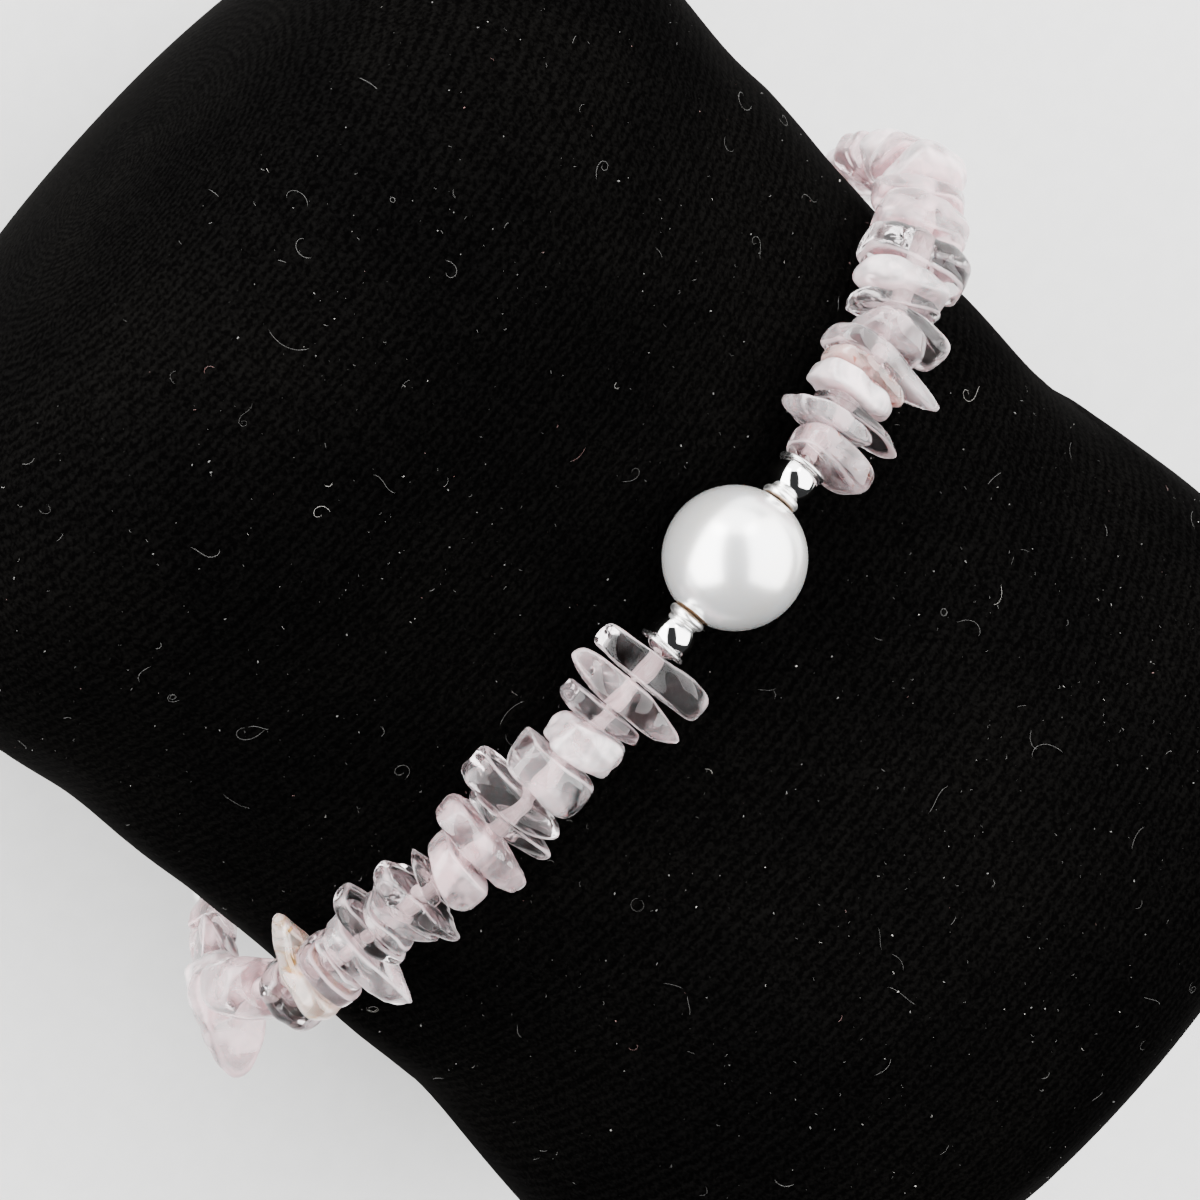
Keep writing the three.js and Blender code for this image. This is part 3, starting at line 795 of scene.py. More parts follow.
class Stone(Enum):
    """The kinds of stone in the strands, each with its finish."""

    CLEAR = Quartz(
        "quartz_clear", (0.66, 0.615, 0.625), (0.86, 0.62, 0.65), 0.0, 0.03,
        haze=0.01, gloss=0.0, mirror=0.22,
    )
    BLUSH = Quartz(
        "quartz_blush", (0.84, 0.74, 0.755), (0.92, 0.56, 0.60), 0.0, 0.15,
        haze=0.02, gloss=0.1, mirror=0.35,
    )
    HAZE = Quartz(
        "quartz_haze", (0.88, 0.80, 0.815), (0.90, 0.62, 0.66), 0.0, 0.21,
        haze=0.03, gloss=0.4, mirror=0.5,
    )
    ROSE = Quartz(
        "quartz_rose", (0.92, 0.78, 0.80), (0.94, 0.53, 0.58), 0.02, 0.29,
        haze=0.04, gloss=0.4, mirror=0.6,
    )
    MILK = Quartz(
        "quartz_milk", (0.97, 0.91, 0.92), (0.95, 0.67, 0.70), 0.14, 0.62, haze=0.07, gloss=0.5
    )
    SMOKE = Quartz(
        "quartz_smoke", (0.68, 0.60, 0.62), (0.80, 0.56, 0.60), 0.0, 0.10,
        haze=0.03, gloss=0.1, mirror=0.3,
    )
    SALMON = Quartz(
        "quartz_salmon", (0.90, 0.72, 0.69), (0.90, 0.50, 0.45), 0.04, 0.34,
        stain=(0.56, 0.18, 0.12), stains_per_mm=0.9, stain_from=0.56, haze=0.04,
    )
    STAINED = Quartz(
        "quartz_stained", (0.92, 0.80, 0.74), (0.90, 0.62, 0.52), 0.05, 0.36,
        stain=(0.58, 0.28, 0.04), stains_per_mm=0.35, stain_from=0.57, haze=0.04,
    )
    MAUVE = Quartz(
        "quartz_mauve", (0.78, 0.67, 0.69), (0.72, 0.48, 0.52), 0.01, 0.24,
        stain=(0.50, 0.16, 0.07), stains_per_mm=0.8, stain_from=0.62,
        haze=0.04, gloss=0.3, mirror=0.5,
    )


CLEAR_STONES = (Stone.CLEAR, Stone.BLUSH, Stone.SMOKE)  # the clear kinds of stone


# ---- The chips ----------------------------------------------------------------------------------
@dataclass(frozen=True)
class Chip:
    """One tumbled chip, in millimetres and degrees.

    at is its place along the thread from the pearl's centre, and thick its length there. head and
    tail are its reaches towards -Y and +Y, out and inn away from the pillow and towards it. roll
    turns it about the thread, its tail outwards, lean tips its tail away from the pearl, and yaw
    tips its outer side that way. thin_head and thin_tail are its thickness at its ends as a share
    of that at the thread, and tip_head and tip_tail run from 0, square, to 1, pointed.
    """

    at: float
    thick: float
    head: float
    tail: float
    out: float
    inn: float
    roll: float
    lean: float
    yaw: float
    thin_head: float
    thin_tail: float
    tip_head: float
    tip_tail: float
    stone: Stone


def chips(*rows: tuple) -> list[Chip]:
    """Chips from rows that hold a chip's values in their order."""
    return [Chip(*row) for row in rows]


RIGHT_CHIPS = chips(
    (9.5, 2.6, 4.1, 5.3, 2.8, 2.5, 0, -5, -4, 0.8, 0.95, 0.5, 0.1, Stone.CLEAR),
    (12.1, 2.5, 4.9, 5.5, 2.6, 2.5, 0, 3, 0, 0.35, 0.4, 0.9, 0.9, Stone.BLUSH),
    (14.1, 1.7, 3.3, 3.1, 2.2, 2.4, 0, -8, 0, 1.1, 0.6, 0.4, 0.5, Stone.SMOKE),
    (16.3, 3.1, 2.2, 3.1, 2.8, 2.2, 0, -14, 0, 0.8, 1.0, 0.3, 0.3, Stone.MILK),
    (19.4, 3.4, 3.2, 3.2, 3.0, 2.2, 0, 4, 8, 1.0, 1.1, 0.2, 0.4, Stone.HAZE),
    (22.2, 2.6, 5.0, 3.7, 2.4, 2.4, 0, -4, 4, 2.2, 0.6, 0.4, 0.5, Stone.CLEAR),
    (23.9, 1.3, 3.0, 4.4, 2.4, 2.0, 0, -3, 0, 0.9, 0.9, 0.5, 0.3, Stone.CLEAR),
    (26.2, 2.5, 3.9, 4.9, 2.5, 1.8, 0, 11, 6, 0.9, 0.6, 0.3, 0.8, Stone.ROSE),
    (28.8, 3.0, 2.4, 3.1, 2.9, 1.8, 0, 10, -4, 0.9, 1.1, 0.2, 0.3, Stone.ROSE),
    (30.8, 1.3, 3.7, 1.6, 2.0, 1.8, 0, 34, 0, 1.6, 0.7, 0.2, 0.5, Stone.CLEAR),
    (32.4, 1.9, 3.6, 4.4, 2.8, 1.9, 0, -10, 0, 1.1, 0.9, 0.3, 0.2, Stone.CLEAR),
    (33.9, 1.3, 2.3, 5.0, 2.6, 1.9, 0, -26, 4, 0.9, 1.2, 0.4, 0.7, Stone.HAZE),
    (35.1, 1.4, 2.0, 2.7, 2.6, 1.9, 10, 8, 0, 0.9, 0.9, 0.5, 0.5, Stone.HAZE),
    (36.4, 1.6, 3.8, 3.2, 2.2, 2.0, 12, 2, 0, 1.0, 0.8, 0.3, 0.5, Stone.CLEAR),
    (38.2, 2.2, 2.4, 7.1, 2.8, 1.9, 15, 5, 4, 0.9, 0.5, 0.5, 0.95, Stone.HAZE),
    (39.8, 1.1, 1.9, 3.0, 2.6, 1.9, 20, 8, 0, 0.8, 0.8, 0.5, 0.5, Stone.HAZE),
    (41.2, 1.8, 1.9, 3.5, 2.6, 1.9, 20, 0, 0, 0.9, 0.9, 0.4, 0.5, Stone.SMOKE),
    (43.1, 2.4, 4.4, 3.7, 2.4, 2.2, 30, -4, -8, 0.5, 1.0, 0.95, 0.4, Stone.STAINED),
    (45.3, 1.9, 1.7, 3.9, 2.6, 2.2, 20, 0, 0, 0.9, 0.9, 0.5, 0.4, Stone.CLEAR),
    (48.6, 4.0, 4.2, 2.2, 2.4, 2.2, -30, 0, 8, 0.9, 0.9, 0.3, 0.4, Stone.HAZE),
    (51.9, 2.6, 1.9, 6.2, 3.6, 3.0, 52, -4, 0, 0.9, 0.4, 0.5, 0.9, Stone.ROSE),
    (54.7, 2.7, 2.4, 2.2, 2.7, 2.2, 40, -4, 0, 0.8, 0.8, 0.5, 0.5, Stone.MILK),
    (57.3, 2.4, 4.7, 2.0, 1.1, 2.0, 42, -6, 0, 0.6, 0.8, 0.9, 0.4, Stone.ROSE),
)
LEFT_CHIPS = chips(
    (9.7, 2.2, 1.8, 4.7, 2.8, 2.4, 0, -9, 6, 1.0, 1.15, 0.4, 0.2, Stone.MAUVE),
    (11.6, 1.7, 4.0, 3.0, 2.6, 2.4, 0, 20, 0, 1.3, 0.9, 0.3, 0.4, Stone.HAZE),
    (12.9, 1.4, 2.0, 5.7, 2.4, 2.5, 0, -9, 0, 0.9, 2.2, 0.4, 0.2, Stone.CLEAR),
    (14.4, 2.1, 3.2, 3.1, 3.2, 2.3, 10, 7, -8, 1.4, 0.8, 0.2, 0.4, Stone.MILK),
    (15.8, 1.2, 3.2, 3.4, 2.4, 2.5, 0, -6, 0, 0.9, 1.2, 0.4, 0.3, Stone.SALMON),
    (17.3, 1.8, 3.6, 6.8, 2.6, 2.4, 8, 4, 0, 1.0, 0.5, 0.4, 0.95, Stone.HAZE),
    (19.0, 2.0, 2.4, 2.8, 3.6, 2.2, 0, -10, 14, 1.1, 1.0, 0.3, 0.4, Stone.HAZE),
    (20.6, 1.6, 1.8, 4.8, 2.3, 2.4, 12, 0, 0, 0.9, 1.4, 0.4, 0.2, Stone.CLEAR),
    (21.9, 1.8, 6.6, 3.2, 2.2, 2.3, 24, 31, 4, 0.7, 0.9, 0.95, 0.3, Stone.CLEAR),
    (23.9, 1.9, 3.8, 3.2, 2.2, 2.4, 22, 4, 0, 0.9, 0.8, 0.4, 0.4, Stone.MILK),
    (26.5, 3.1, 4.2, 4.2, 2.3, 2.3, 20, 0, 4, 0.8, 1.1, 0.3, 0.3, Stone.CLEAR),
    (30.2, 4.0, 3.6, 3.4, 2.2, 2.3, 20, 4, 0, 0.9, 0.9, 0.3, 0.3, Stone.ROSE),
    (33.4, 2.3, 4.0, 3.1, 2.0, 2.2, 28, 6, 0, 0.9, 0.9, 0.4, 0.4, Stone.ROSE),
    (35.8, 2.4, 2.8, 2.4, 4.0, 2.2, 0, -4, 6, 0.9, 0.8, 0.3, 0.5, Stone.MILK),
    (38.6, 3.0, 3.2, 2.4, 2.9, 2.2, 0, 0, 0, 0.9, 0.9, 0.4, 0.4, Stone.ROSE),
    (41.8, 3.3, 3.0, 2.4, 2.2, 2.2, 0, 4, -6, 0.8, 0.9, 0.5, 0.4, Stone.MILK),
    (45.0, 3.0, 3.2, 2.6, 1.4, 2.2, 0, 0, 0, 0.9, 0.7, 0.5, 0.6, Stone.ROSE),
)
RIGHT_HIDDEN = [
    chips(
        (59.9, 2.6, 1.1, 3.2, 0.8, 2.2, 20, 4, 0, 0.8, 0.7, 0.5, 0.6, Stone.ROSE),
        (62.5, 2.6, 1.0, 3.2, 0.8, 2.2, 10, -4, 0, 0.7, 0.8, 0.6, 0.4, Stone.MILK),
        (65.3, 3.0, 1.1, 2.8, 0.8, 2.2, 0, 4, 0, 0.8, 0.7, 0.5, 0.5, Stone.ROSE),
    ),
]
LEFT_HIDDEN = [
    chips(
        (48.0, 2.8, 2.2, 3.0, 0.95, 2.2, 0, 4, 0, 0.8, 0.7, 0.5, 0.6, Stone.MILK),
        (50.9, 2.8, 2.5, 3.0, 0.95, 2.2, 0, -4, 0, 0.7, 0.8, 0.6, 0.4, Stone.ROSE),
        (53.7, 2.7, 3.2, 3.2, 1.4, 2.3, 0, 2, 0, 0.8, 0.6, 0.4, 0.7, Stone.MILK),
    ),
    chips(
        (56.4, 2.7, 3.5, 3.0, 2.3, 2.4, 0, -4, 0, 0.7, 0.8, 0.6, 0.4, Stone.ROSE),
        (59.0, 2.6, 3.0, 3.5, 2.4, 2.4, 0, 4, 0, 0.8, 0.7, 0.5, 0.6, Stone.HAZE),
        (61.6, 2.7, 3.4, 3.0, 2.3, 2.4, 0, 0, 0, 0.8, 0.8, 0.5, 0.5, Stone.MILK),
    ),
]


@dataclass(frozen=True)
class Flats:
    """Flats that together bound a chip, in its own axes.

    Those are x towards its tail, y away from the pillow and z away from the pearl.
    """

    normals: Array
    distances: Array
    weights: Array

    @classmethod
    def of(cls, rows: list[tuple[float, float, float, float]], weight: float = 1.0) -> "Flats":
        """Flats from rows of a normal of any size and a distance on its scale.

        Args:
            rows: the normals and distances.
            weight: how much each counts.

        Returns:
            The flats, with normals of length 1.
        """
        values = np.array(rows, dtype=float)
        size = np.linalg.norm(values[:, :3], axis=1)
        weights = np.full(len(values), weight)
        return cls(values[:, :3] / size[:, None], values[:, 3] / size, weights)

    def with_more(self, other: "Flats") -> "Flats":
        """These flats and others."""
        return Flats(
            np.concatenate([self.normals, other.normals]),
            np.concatenate([self.distances, other.distances]),
            np.concatenate([self.weights, other.weights]),
        )

    def terms(self, points: Array, power: float) -> Array:
        """Each flat's term at each point: weight max(0, n.p / distance)^power."""
        shares = np.maximum(0.0, points @ self.normals.T / self.distances)
        return self.weights * shares**power

    def crowding(self, points: Array, power: float) -> Array:
        """The sum of the flats' terms at each point."""
        return self.terms(points, power).sum(axis=-1)


@dataclass(frozen=True)
class Seam:
    """The side of a plane between neighbours that a chip lies on, in the chip's own axes."""

    normal: Array
    distance: float
    other: "StrungChip | None"


@dataclass(frozen=True)
class ChipShaping:
    """How chips are shaped from their rows, and how finely they are made."""

    gap: float = 0.1  # between neighbours
    bore: float = 0.55  # a radius
    first_seam: float = 8.4  # where a strand of chips starts, from the pearl's centre
    fullness: float = 1.25  # how much thicker a chip would be if nothing bounded it
    edge_power: float = 12.0  # the higher, the crisper its edges
    tip_reach: float = 0.13  # how much further its flats meet at a full point, for its rounding
    seam_reach: int = 3  # how many places along its neighbours are looked for
    hold_full: float = 1.08  # of a neighbour's outline, up to where its seam holds fully
    hold_none: float = 1.5  # and from where it doesn't hold at all
    taper_weight: float = 0.5
    corner_variation: float = 0.3
    rounding: float = 2.8  # the power of the egg that rounds it off; 2 is an ellipsoid
    egg_margin: float = 1.12  # how far the egg's ends stand beyond it
    cuts: int = 12  # small worn flats along it, besides those of its row
    cut_lean: float = 0.45  # how far they may face its head or tail, which keep their points
    cut_depth: tuple[float, float] = (0.83, 0.98)  # of its reach, how far out they lie
    cut_samples: int = 500  # how many points its reach is looked up from
    dents: int = 5  # how many waves they are made of
    dent_depth: float = 0.26
    dent_turn: float = 1.5  # how fast a wave turns, in radians per millimetre
    dent_fade: float = 8.0  # the higher, the nearer to the bore they start
    turns: int = 92
    rings: int = 54
    bore_halvings: int = 26
    bore_steps: int = 8
    bore_roughness: float = 0.03


SHAPING = ChipShaping()
CHANCE_TURNS = (12.9898, 78.233)  # how far a wave of chance turns for each chip and each corner
CHANCE_HEIGHT = 43758.5453
CUT_SEED, DENT_SEED, BORE_SEED = 1000, 2000, 3000
SIDE_SEED, STRETCH_SEED = 7, 31


@dataclass
class StrungChip:
    """A chip in its place on the loop, bounded by its flats and by the seams to its neighbours."""

    row: Chip
    side: int  # 1 on the strand towards +X and -1 on the other
    stretch: int  # 0 where the chip can be seen, or the number of its hidden stretch
    index: int
    loop: Loop
    seams: list[Seam] = field(default_factory=list)

    @property
    def seed(self) -> int:
        """A number that differs from chip to chip."""
        return self.side * SIDE_SEED + self.stretch * STRETCH_SEED + self.index

    @cached_property
    def place(self) -> Places:
        """Its place on the loop."""
        return self.loop.at(self.side * self.row.at)

    @cached_property
    def axes(self) -> Array:
        """Its own axes, its roll turned outwards.

        Returns:
            Rows towards its tail, away from the pillow and away from the pearl.
        """
        roll = math.radians(self.row.roll)
        y_axis, outward = np.array([0.0, 1.0, 0.0]), self.place.outward
        return np.stack([
            y_axis * math.cos(roll) + outward * math.sin(roll),
            outward * math.cos(roll) - y_axis * math.sin(roll),
            self.place.along * self.side,
        ])

    def chance(self, corner: int) -> float:
        """A repeatable number from 0 to 1: the fraction of a large wave.

        Args:
            corner: which of its corners it is for.

        Returns:
            The number.
        """
        per_chip, per_corner = CHANCE_TURNS
        wave = math.sin(self.seed * per_chip + corner * per_corner) * CHANCE_HEIGHT
        return wave - math.floor(wave)

    @property
    def ends(self) -> tuple[float, float]:
        """How far its flats reach at its tail and its head, a little further where they point."""
        row, more = self.row, SHAPING.tip_reach
        return row.tail * (1 + more * row.tip_tail**2), row.head * (1 + more * row.tip_head**2)

    @cached_property
    def outline(self) -> Flats:
        """Its outline along the thread.

        Returns:
            Its four edges, and its four corners cut as its tips say, each varied a little.
        """
        row = self.row
        tail, head = self.ends
        edges = [(1, 0, 0, tail), (-1, 0, 0, head), (0, 1, 0, row.out), (0, -1, 0, row.inn)]
        corners = []
        for corner, (reach, depth, x, y, tip) in enumerate((
            (tail, row.out, 1, 1, row.tip_tail),
            (tail, row.inn, 1, -1, row.tip_tail),
            (head, row.out, -1, 1, row.tip_head),
            (head, row.inn, -1, -1, row.tip_head),
        )):
            varied = tip + SHAPING.corner_variation * (self.chance(corner) - 0.5)
            cut = 2.0 - min(1.0, max(0.0, varied))
            corners.append((x * depth, y * reach, 0, cut * depth * reach))
        return Flats.of(edges + corners)

    @cached_property
    def sides(self) -> Flats:
        """Its two broad sides.

        Returns:
            Two flats for each, that thin towards its head and its tail.
        """
        row = self.row
        half = SHAPING.fullness * row.thick / 2
        lean, yaw = math.tan(math.radians(row.lean)), math.tan(math.radians(row.yaw))
        tapers = ((1 - row.thin_tail) * half / row.tail, -(1 - row.thin_head) * half / row.head)
        rows = []
        for taper in tapers:
            rows += [(taper - lean, -yaw, 1, half), (taper + lean, yaw, -1, half)]
        return Flats.of(rows, SHAPING.taper_weight)

    @cached_property
    def worn(self) -> Flats:
        """All its flats, with some worn ones at random.

        Returns:
            The flats of its row, and cuts that each lie a little within its reach there.
        """
        power = SHAPING.edge_power
        flats = self.outline.with_more(self.sides)
        random = np.random.default_rng(CUT_SEED + self.seed)
        ways = unit(random.normal(size=(SHAPING.cut_samples, 3)))
        points = ways / flats.crowding(ways, power)[:, None] ** (1 / power)
        lean = random.uniform(-SHAPING.cut_lean, SHAPING.cut_lean, SHAPING.cuts)
        turn = random.uniform(0, 2 * math.pi, SHAPING.cuts)
        wide = np.sqrt(1 - lean**2)
        normals = np.stack([lean, wide * np.cos(turn), wide * np.sin(turn)], axis=-1)
        depths = random.uniform(*SHAPING.cut_depth, size=SHAPING.cuts)
        distances = (points @ normals.T).max(axis=0) * depths
        return flats.with_more(Flats(normals, distances, np.ones(SHAPING.cuts)))

    def hold(self, seam: Seam, ways: Array, facing: Array) -> Array:
        """How much a seam holds the chip back in each direction.

        It holds fully where the direction meets the seam within the neighbour's outline, and not
        at all well outside, where a long chip leans past a short one.

        Args:
            seam: the seam.
            ways: directions of length 1, in the chip's axes.
            facing: the cosine of each to the seam's normal.

        Returns:
            Weights from 0 to 1.
        """
        if seam.other is None:
            return np.ones(len(ways))
        other = seam.other
        length = seam.distance / np.maximum(facing, 1e-9)
        crossing = self.place.point + (ways * length[:, None]) @ self.axes - other.place.point
        across = crossing @ other.axes.T * np.array([1.0, 1.0, 0.0])
        size = other.outline.crowding(across, SHAPING.edge_power) ** (1 / SHAPING.edge_power)
        outside = (size - SHAPING.hold_full) / (SHAPING.hold_none - SHAPING.hold_full)
        return np.where(facing > 0, 1.0 - smoothstep(outside), 1.0)

    def egg(self, ways: Array) -> Array:
        """How much the egg round the chip holds it back: the sum of |p / reach|^q, to the 1/q.

        Args:
            ways: directions of length 1 in the chip's axes, of shape (n, 3).

        Returns:
            1 over how far the egg reaches in each.
        """
        row = self.row
        x = ways[:, 0] / np.where(ways[:, 0] > 0, *self.ends)
        y = ways[:, 1] / np.where(ways[:, 1] > 0, row.out, row.inn)
        z = ways[:, 2] / (SHAPING.fullness * row.thick / 2)
        scaled = np.abs(np.stack([x, y, z], axis=-1)) / SHAPING.egg_margin
        return (scaled**SHAPING.rounding).sum(axis=-1) ** (1 / SHAPING.rounding)

    def reach(self, ways: Array) -> Array:
        """How far the chip reaches in each direction.

        There the power sum of its flats, its egg and its seams is 1.

        Args:
            ways: directions of length 1 in the chip's axes, of shape (n, 3).

        Returns:
            The distances from its middle, in millimetres.
        """
        power = SHAPING.edge_power
        crowding = self.terms(ways).sum(axis=-1) + self.egg(ways) ** power
        return crowding ** (-1 / power)

    def terms(self, ways: Array) -> Array:
        """The terms of its flats and of its seams, which bound it together.

        Args:
            ways: directions of length 1 in the chip's axes, of shape (n, 3).

        Returns:
            One row for each direction, its flats' terms and then its seams'.
        """
        power = SHAPING.edge_power
        terms = [self.worn.terms(ways, power)]
        for seam in self.seams:
            facing = ways @ seam.normal
            held = self.hold(seam, ways, facing) * np.maximum(0, facing / seam.distance) ** power
            terms.append(held[:, None])
        return np.concatenate(terms, axis=-1)

    def edges(self, ways: Array) -> Array:
        """How much of an edge there is in each direction.

        It is 1 - |sum of t n| / (sum of t), for the flats' and seams' terms t and normals n. So it
        is 0 where one flat bounds the chip, and more the more the flats that meet there differ.

        Args:
            ways: directions of length 1 in the chip's axes, of shape (n, 3).

        Returns:
            Values from 0 to 1.
        """
        terms = self.terms(ways)
        normals = np.concatenate([self.worn.normals, [seam.normal for seam in self.seams]])
        return 1.0 - np.linalg.norm(terms @ normals, axis=-1) / terms.sum(axis=-1)

    @staticmethod
    def ways(turn: Array, polar: Array) -> Array:
        """Directions at angles about the thread and polar angles from it."""
        sine = np.sin(polar)
        return np.stack([np.cos(turn) * sine, np.sin(turn) * sine, np.cos(polar)], axis=-1)

    def bore_mouth(self, turn: Array, is_far: bool) -> Array:
        """The polar angles where the surface is as far from the thread as the bore is wide.

        Args:
            turn: angles about the thread.
            is_far: whether on the side away from the pearl.

        Returns:
            The angles, found by halving.
        """
        low, high = np.zeros_like(turn), np.full_like(turn, math.pi / 2)
        for _ in range(SHAPING.bore_halvings):
            middle = (low + high) / 2
            polar = middle if is_far else math.pi - middle
            inside = self.reach(self.ways(turn, polar)) * np.sin(middle) < SHAPING.bore
            low, high = np.where(inside, middle, low), np.where(inside, high, middle)
        return low if is_far else math.pi - low

    def surface(self) -> Shell:
        """The chip's skin, from one mouth of its bore to the other, and the bore's own wall.

        The rings between the mouths are even on an ellipse of its thickness and width, and the
        skin is pressed in a little by broad dents: a sum of waves at random, on its points.

        Returns:
            The shell in the model's frame, with finish 0 on its skin and 1 in its bore.
        """
        row, count = self.row, SHAPING.rings
        turn = np.linspace(0, 2 * math.pi, SHAPING.turns, endpoint=False)
        across = np.cos(turn) * np.where(np.cos(turn) > 0, row.tail, row.head)
        outwards = np.sin(turn) * np.where(np.sin(turn) > 0, row.out, row.inn)
        width = 2 * np.hypot(across, outwards)
        ends = [
            np.arctan2(np.sin(polar) * row.thick, np.cos(polar) * width)
            for polar in (self.bore_mouth(turn, True), self.bore_mouth(turn, False))
        ]
        share = np.linspace(0, 1, count)[None, :]
        angle = ends[0][:, None] * (1 - share) + ends[1][:, None] * share
        polar = np.arctan2(width[:, None] * np.sin(angle), row.thick * np.cos(angle))
        ways = self.ways(np.broadcast_to(turn[:, None], polar.shape), polar)
        edges = np.zeros((SHAPING.turns, count + SHAPING.bore_steps))
        edges[:, :count] = self.edges(ways.reshape(-1, 3)).reshape(polar.shape)
        skin = ways * self.reach(ways.reshape(-1, 3)).reshape(*polar.shape, 1)
        skin -= ways * self.dents(skin, share)[..., None]
        wall = self.bore_wall(skin[:, -1], skin[:, 0], turn)
        grid = np.concatenate([skin, wall], axis=1)
        shell = Shell.from_grid(self.place.point + grid @ self.axes, flip=self.side > 0)
        columns = np.arange(grid.shape[1])
        in_bore = (columns >= count - 1).astype(np.int32)
        shell.finishes = np.tile(in_bore, SHAPING.turns)
        shell.edges = edges.ravel()
        return shell

    def dents(self, skin: Array, share: Array) -> Array:
        """How far the skin is pressed in: the mean of a few random waves, none at the bore.

        Args:
            skin: its points in the chip's axes, of shape (turns, rings, 3).
            share: from 0 at one mouth of its bore to 1 at the other, for each ring.

        Returns:
            The depths, of shape (turns, rings).
        """
        random = np.random.default_rng(DENT_SEED + self.seed)
        waves = random.normal(size=(SHAPING.dents, 3)) * SHAPING.dent_turn
        phases = random.uniform(0, 2 * math.pi, SHAPING.dents)
        height = np.cos(skin @ waves.T + phases).mean(axis=-1)
        away = smoothstep(np.minimum(share, 1 - share) * SHAPING.dent_fade)
        return SHAPING.dent_depth * (0.5 + height) * away

    def bore_wall(self, near: Array, far: Array, turn: Array) -> Array:
        """The ground wall of the bore between its two mouths.

        Args:
            near: the points of the mouth towards the pearl, of shape (turns, 3).
            far: those of the mouth away from it.
            turn: their angles about the thread.

        Returns:
            Points of shape (turns, steps, 3), rough by chance.
        """
        random = np.random.default_rng(BORE_SEED + self.seed)
        steps = SHAPING.bore_steps
        share = (np.arange(1, steps + 1) / (steps + 1))[None, :, None]
        wall = near[:, None] * (1 - share) + far[:, None] * share
        rough = random.uniform(-1, 1, (len(turn), steps, 1)) * SHAPING.bore_roughness
        spokes = np.stack([np.cos(turn), np.sin(turn), np.zeros_like(turn)], axis=-1)
        return wall + rough * spokes[:, None]


class Hand(Enum):
    """The two strands, each with its sense along the loop."""

    RIGHT = 1  # towards +X
    LEFT = -1


@dataclass
class Strand:
    """The chips on one side of the pearl, seen and hidden, with the seams that part them."""

    which: Hand
    seen: list[Chip]
    hidden: list[list[Chip]]
    loop: Loop
    materials: dict[Stone, Material]
    bore_material: Material

    @property
    def hand(self) -> str:
        """What its pieces are called after."""
        return self.which.name.lower()

    @property
    def side(self) -> int:
        """1 towards +X, and -1 on the other side."""
        return self.which.value

    @cached_property
    def chips(self) -> list[StrungChip]:
        """All its chips in their places, with their seams.

        Returns:
            The chips, from the pearl outwards.
        """
        strung = [
            StrungChip(row, self.side, stretch, index, self.loop)
            for stretch, rows in enumerate([self.seen, *self.hidden])
            for index, row in enumerate(rows)
        ]
        first, last = strung[0], strung[-1]
        self.part(first, None, SHAPING.first_seam, -1)
        self.part(last, None, self.end, 1)
        for k, near in enumerate(strung):
            for far in strung[k + 1:k + 1 + SHAPING.seam_reach]:
                middle = (near.row.at + far.row.at) / 2 + (near.row.thick - far.row.thick) / 4
                self.part(near, far, middle, 1)
                self.part(far, near, middle, -1)
        return strung

    @property
    def end(self) -> float:
        """Where its last chip ends, along the thread from the pearl's centre."""
        last = [self.seen, *self.hidden][-1][-1]
        return last.at + last.thick / 2

    def part(self, chip: StrungChip, other: StrungChip | None, distance: float, way: int) -> None:
        """Parts a chip from a neighbour by a plane that leans halfway between them.

        Args:
            chip: the chip that gets the seam.
            other: its neighbour, if it has one there.
            distance: where the plane crosses the thread.
            way: 1 if the neighbour is further from the pearl, and -1 if it is nearer.
        """
        place = self.loop.at(self.side * distance)
        normal = place.along * self.side
        sharing = [one for one in (chip, other) if one]
        for one in sharing:
            normal = normal - one.axes[0] * math.tan(math.radians(one.row.lean)) / len(sharing)
            normal = normal - one.axes[1] * math.tan(math.radians(one.row.yaw)) / len(sharing)
        normal = unit(normal) * way
        reach = float(normal @ (place.point - chip.place.point)) - SHAPING.gap / 2
        chip.seams.append(Seam(chip.axes @ normal, reach, other))

    def build(self) -> None:
        """Makes a piece for each chip that can be seen, and one for each hidden stretch."""
        for number, chip in enumerate(self.chips[:len(self.seen)], start=1):
            name = f"{self.hand}_{number:02d}"
            self.make(name, [chip], f"chip_{name}")
        for stretch in range(1, 1 + len(self.hidden)):
            members = [chip for chip in self.chips if chip.stretch == stretch]
            name = f"{self.hand}_{stretch}"
            self.make(f"hidden_{name}", members, f"chips_hidden_{name}")

    def make(self, name: str, members: list[StrungChip], node: str) -> None:
        """Makes one piece of one or more chips.

        Args:
            name: what to call it.
            members: its chips.
            node: the solid that it stands for.
        """
        shells = [chip.surface() for chip in members]
        stones = list(dict.fromkeys(chip.row.stone for chip in members))
        for chip, shell in zip(members, shells):
            skin = shell.finishes == 0
            shell.finishes = np.where(skin, 1 + stones.index(chip.row.stone), 0).astype(np.int32)
        materials = [self.bore_material, *(self.materials[stone] for stone in stones)]
        piece = Shell.joined(shells).piece(f"stone_{name}", materials)
        clear = stones[0] in CLEAR_STONES
        place_piece(piece, "clear_quartz" if clear else "rose_quartz", node)


# ---- Round pieces -------------------------------------------------------------------------------
MIRRORED = (1, -1)  # times a profile, this turns it upside down


def turned(profile: Array, sides: int) -> Array:
    """A profile turned about Z: (r cos a, r sin a, h) for each of its points (r, h).

    Args:
        profile: a closed profile of shape (n, 2), going up on its outer side.
        sides: how many times it is repeated round the axis.

    Returns:
        A grid of shape (sides, n, 3).
    """
    angle = np.linspace(0, 2 * math.pi, sides, endpoint=False)[:, None]
    radius = profile[None, :, 0]
    x, y = radius * np.cos(angle), radius * np.sin(angle)
    return np.stack([x, y, np.broadcast_to(profile[None, :, 1], x.shape)], axis=-1)


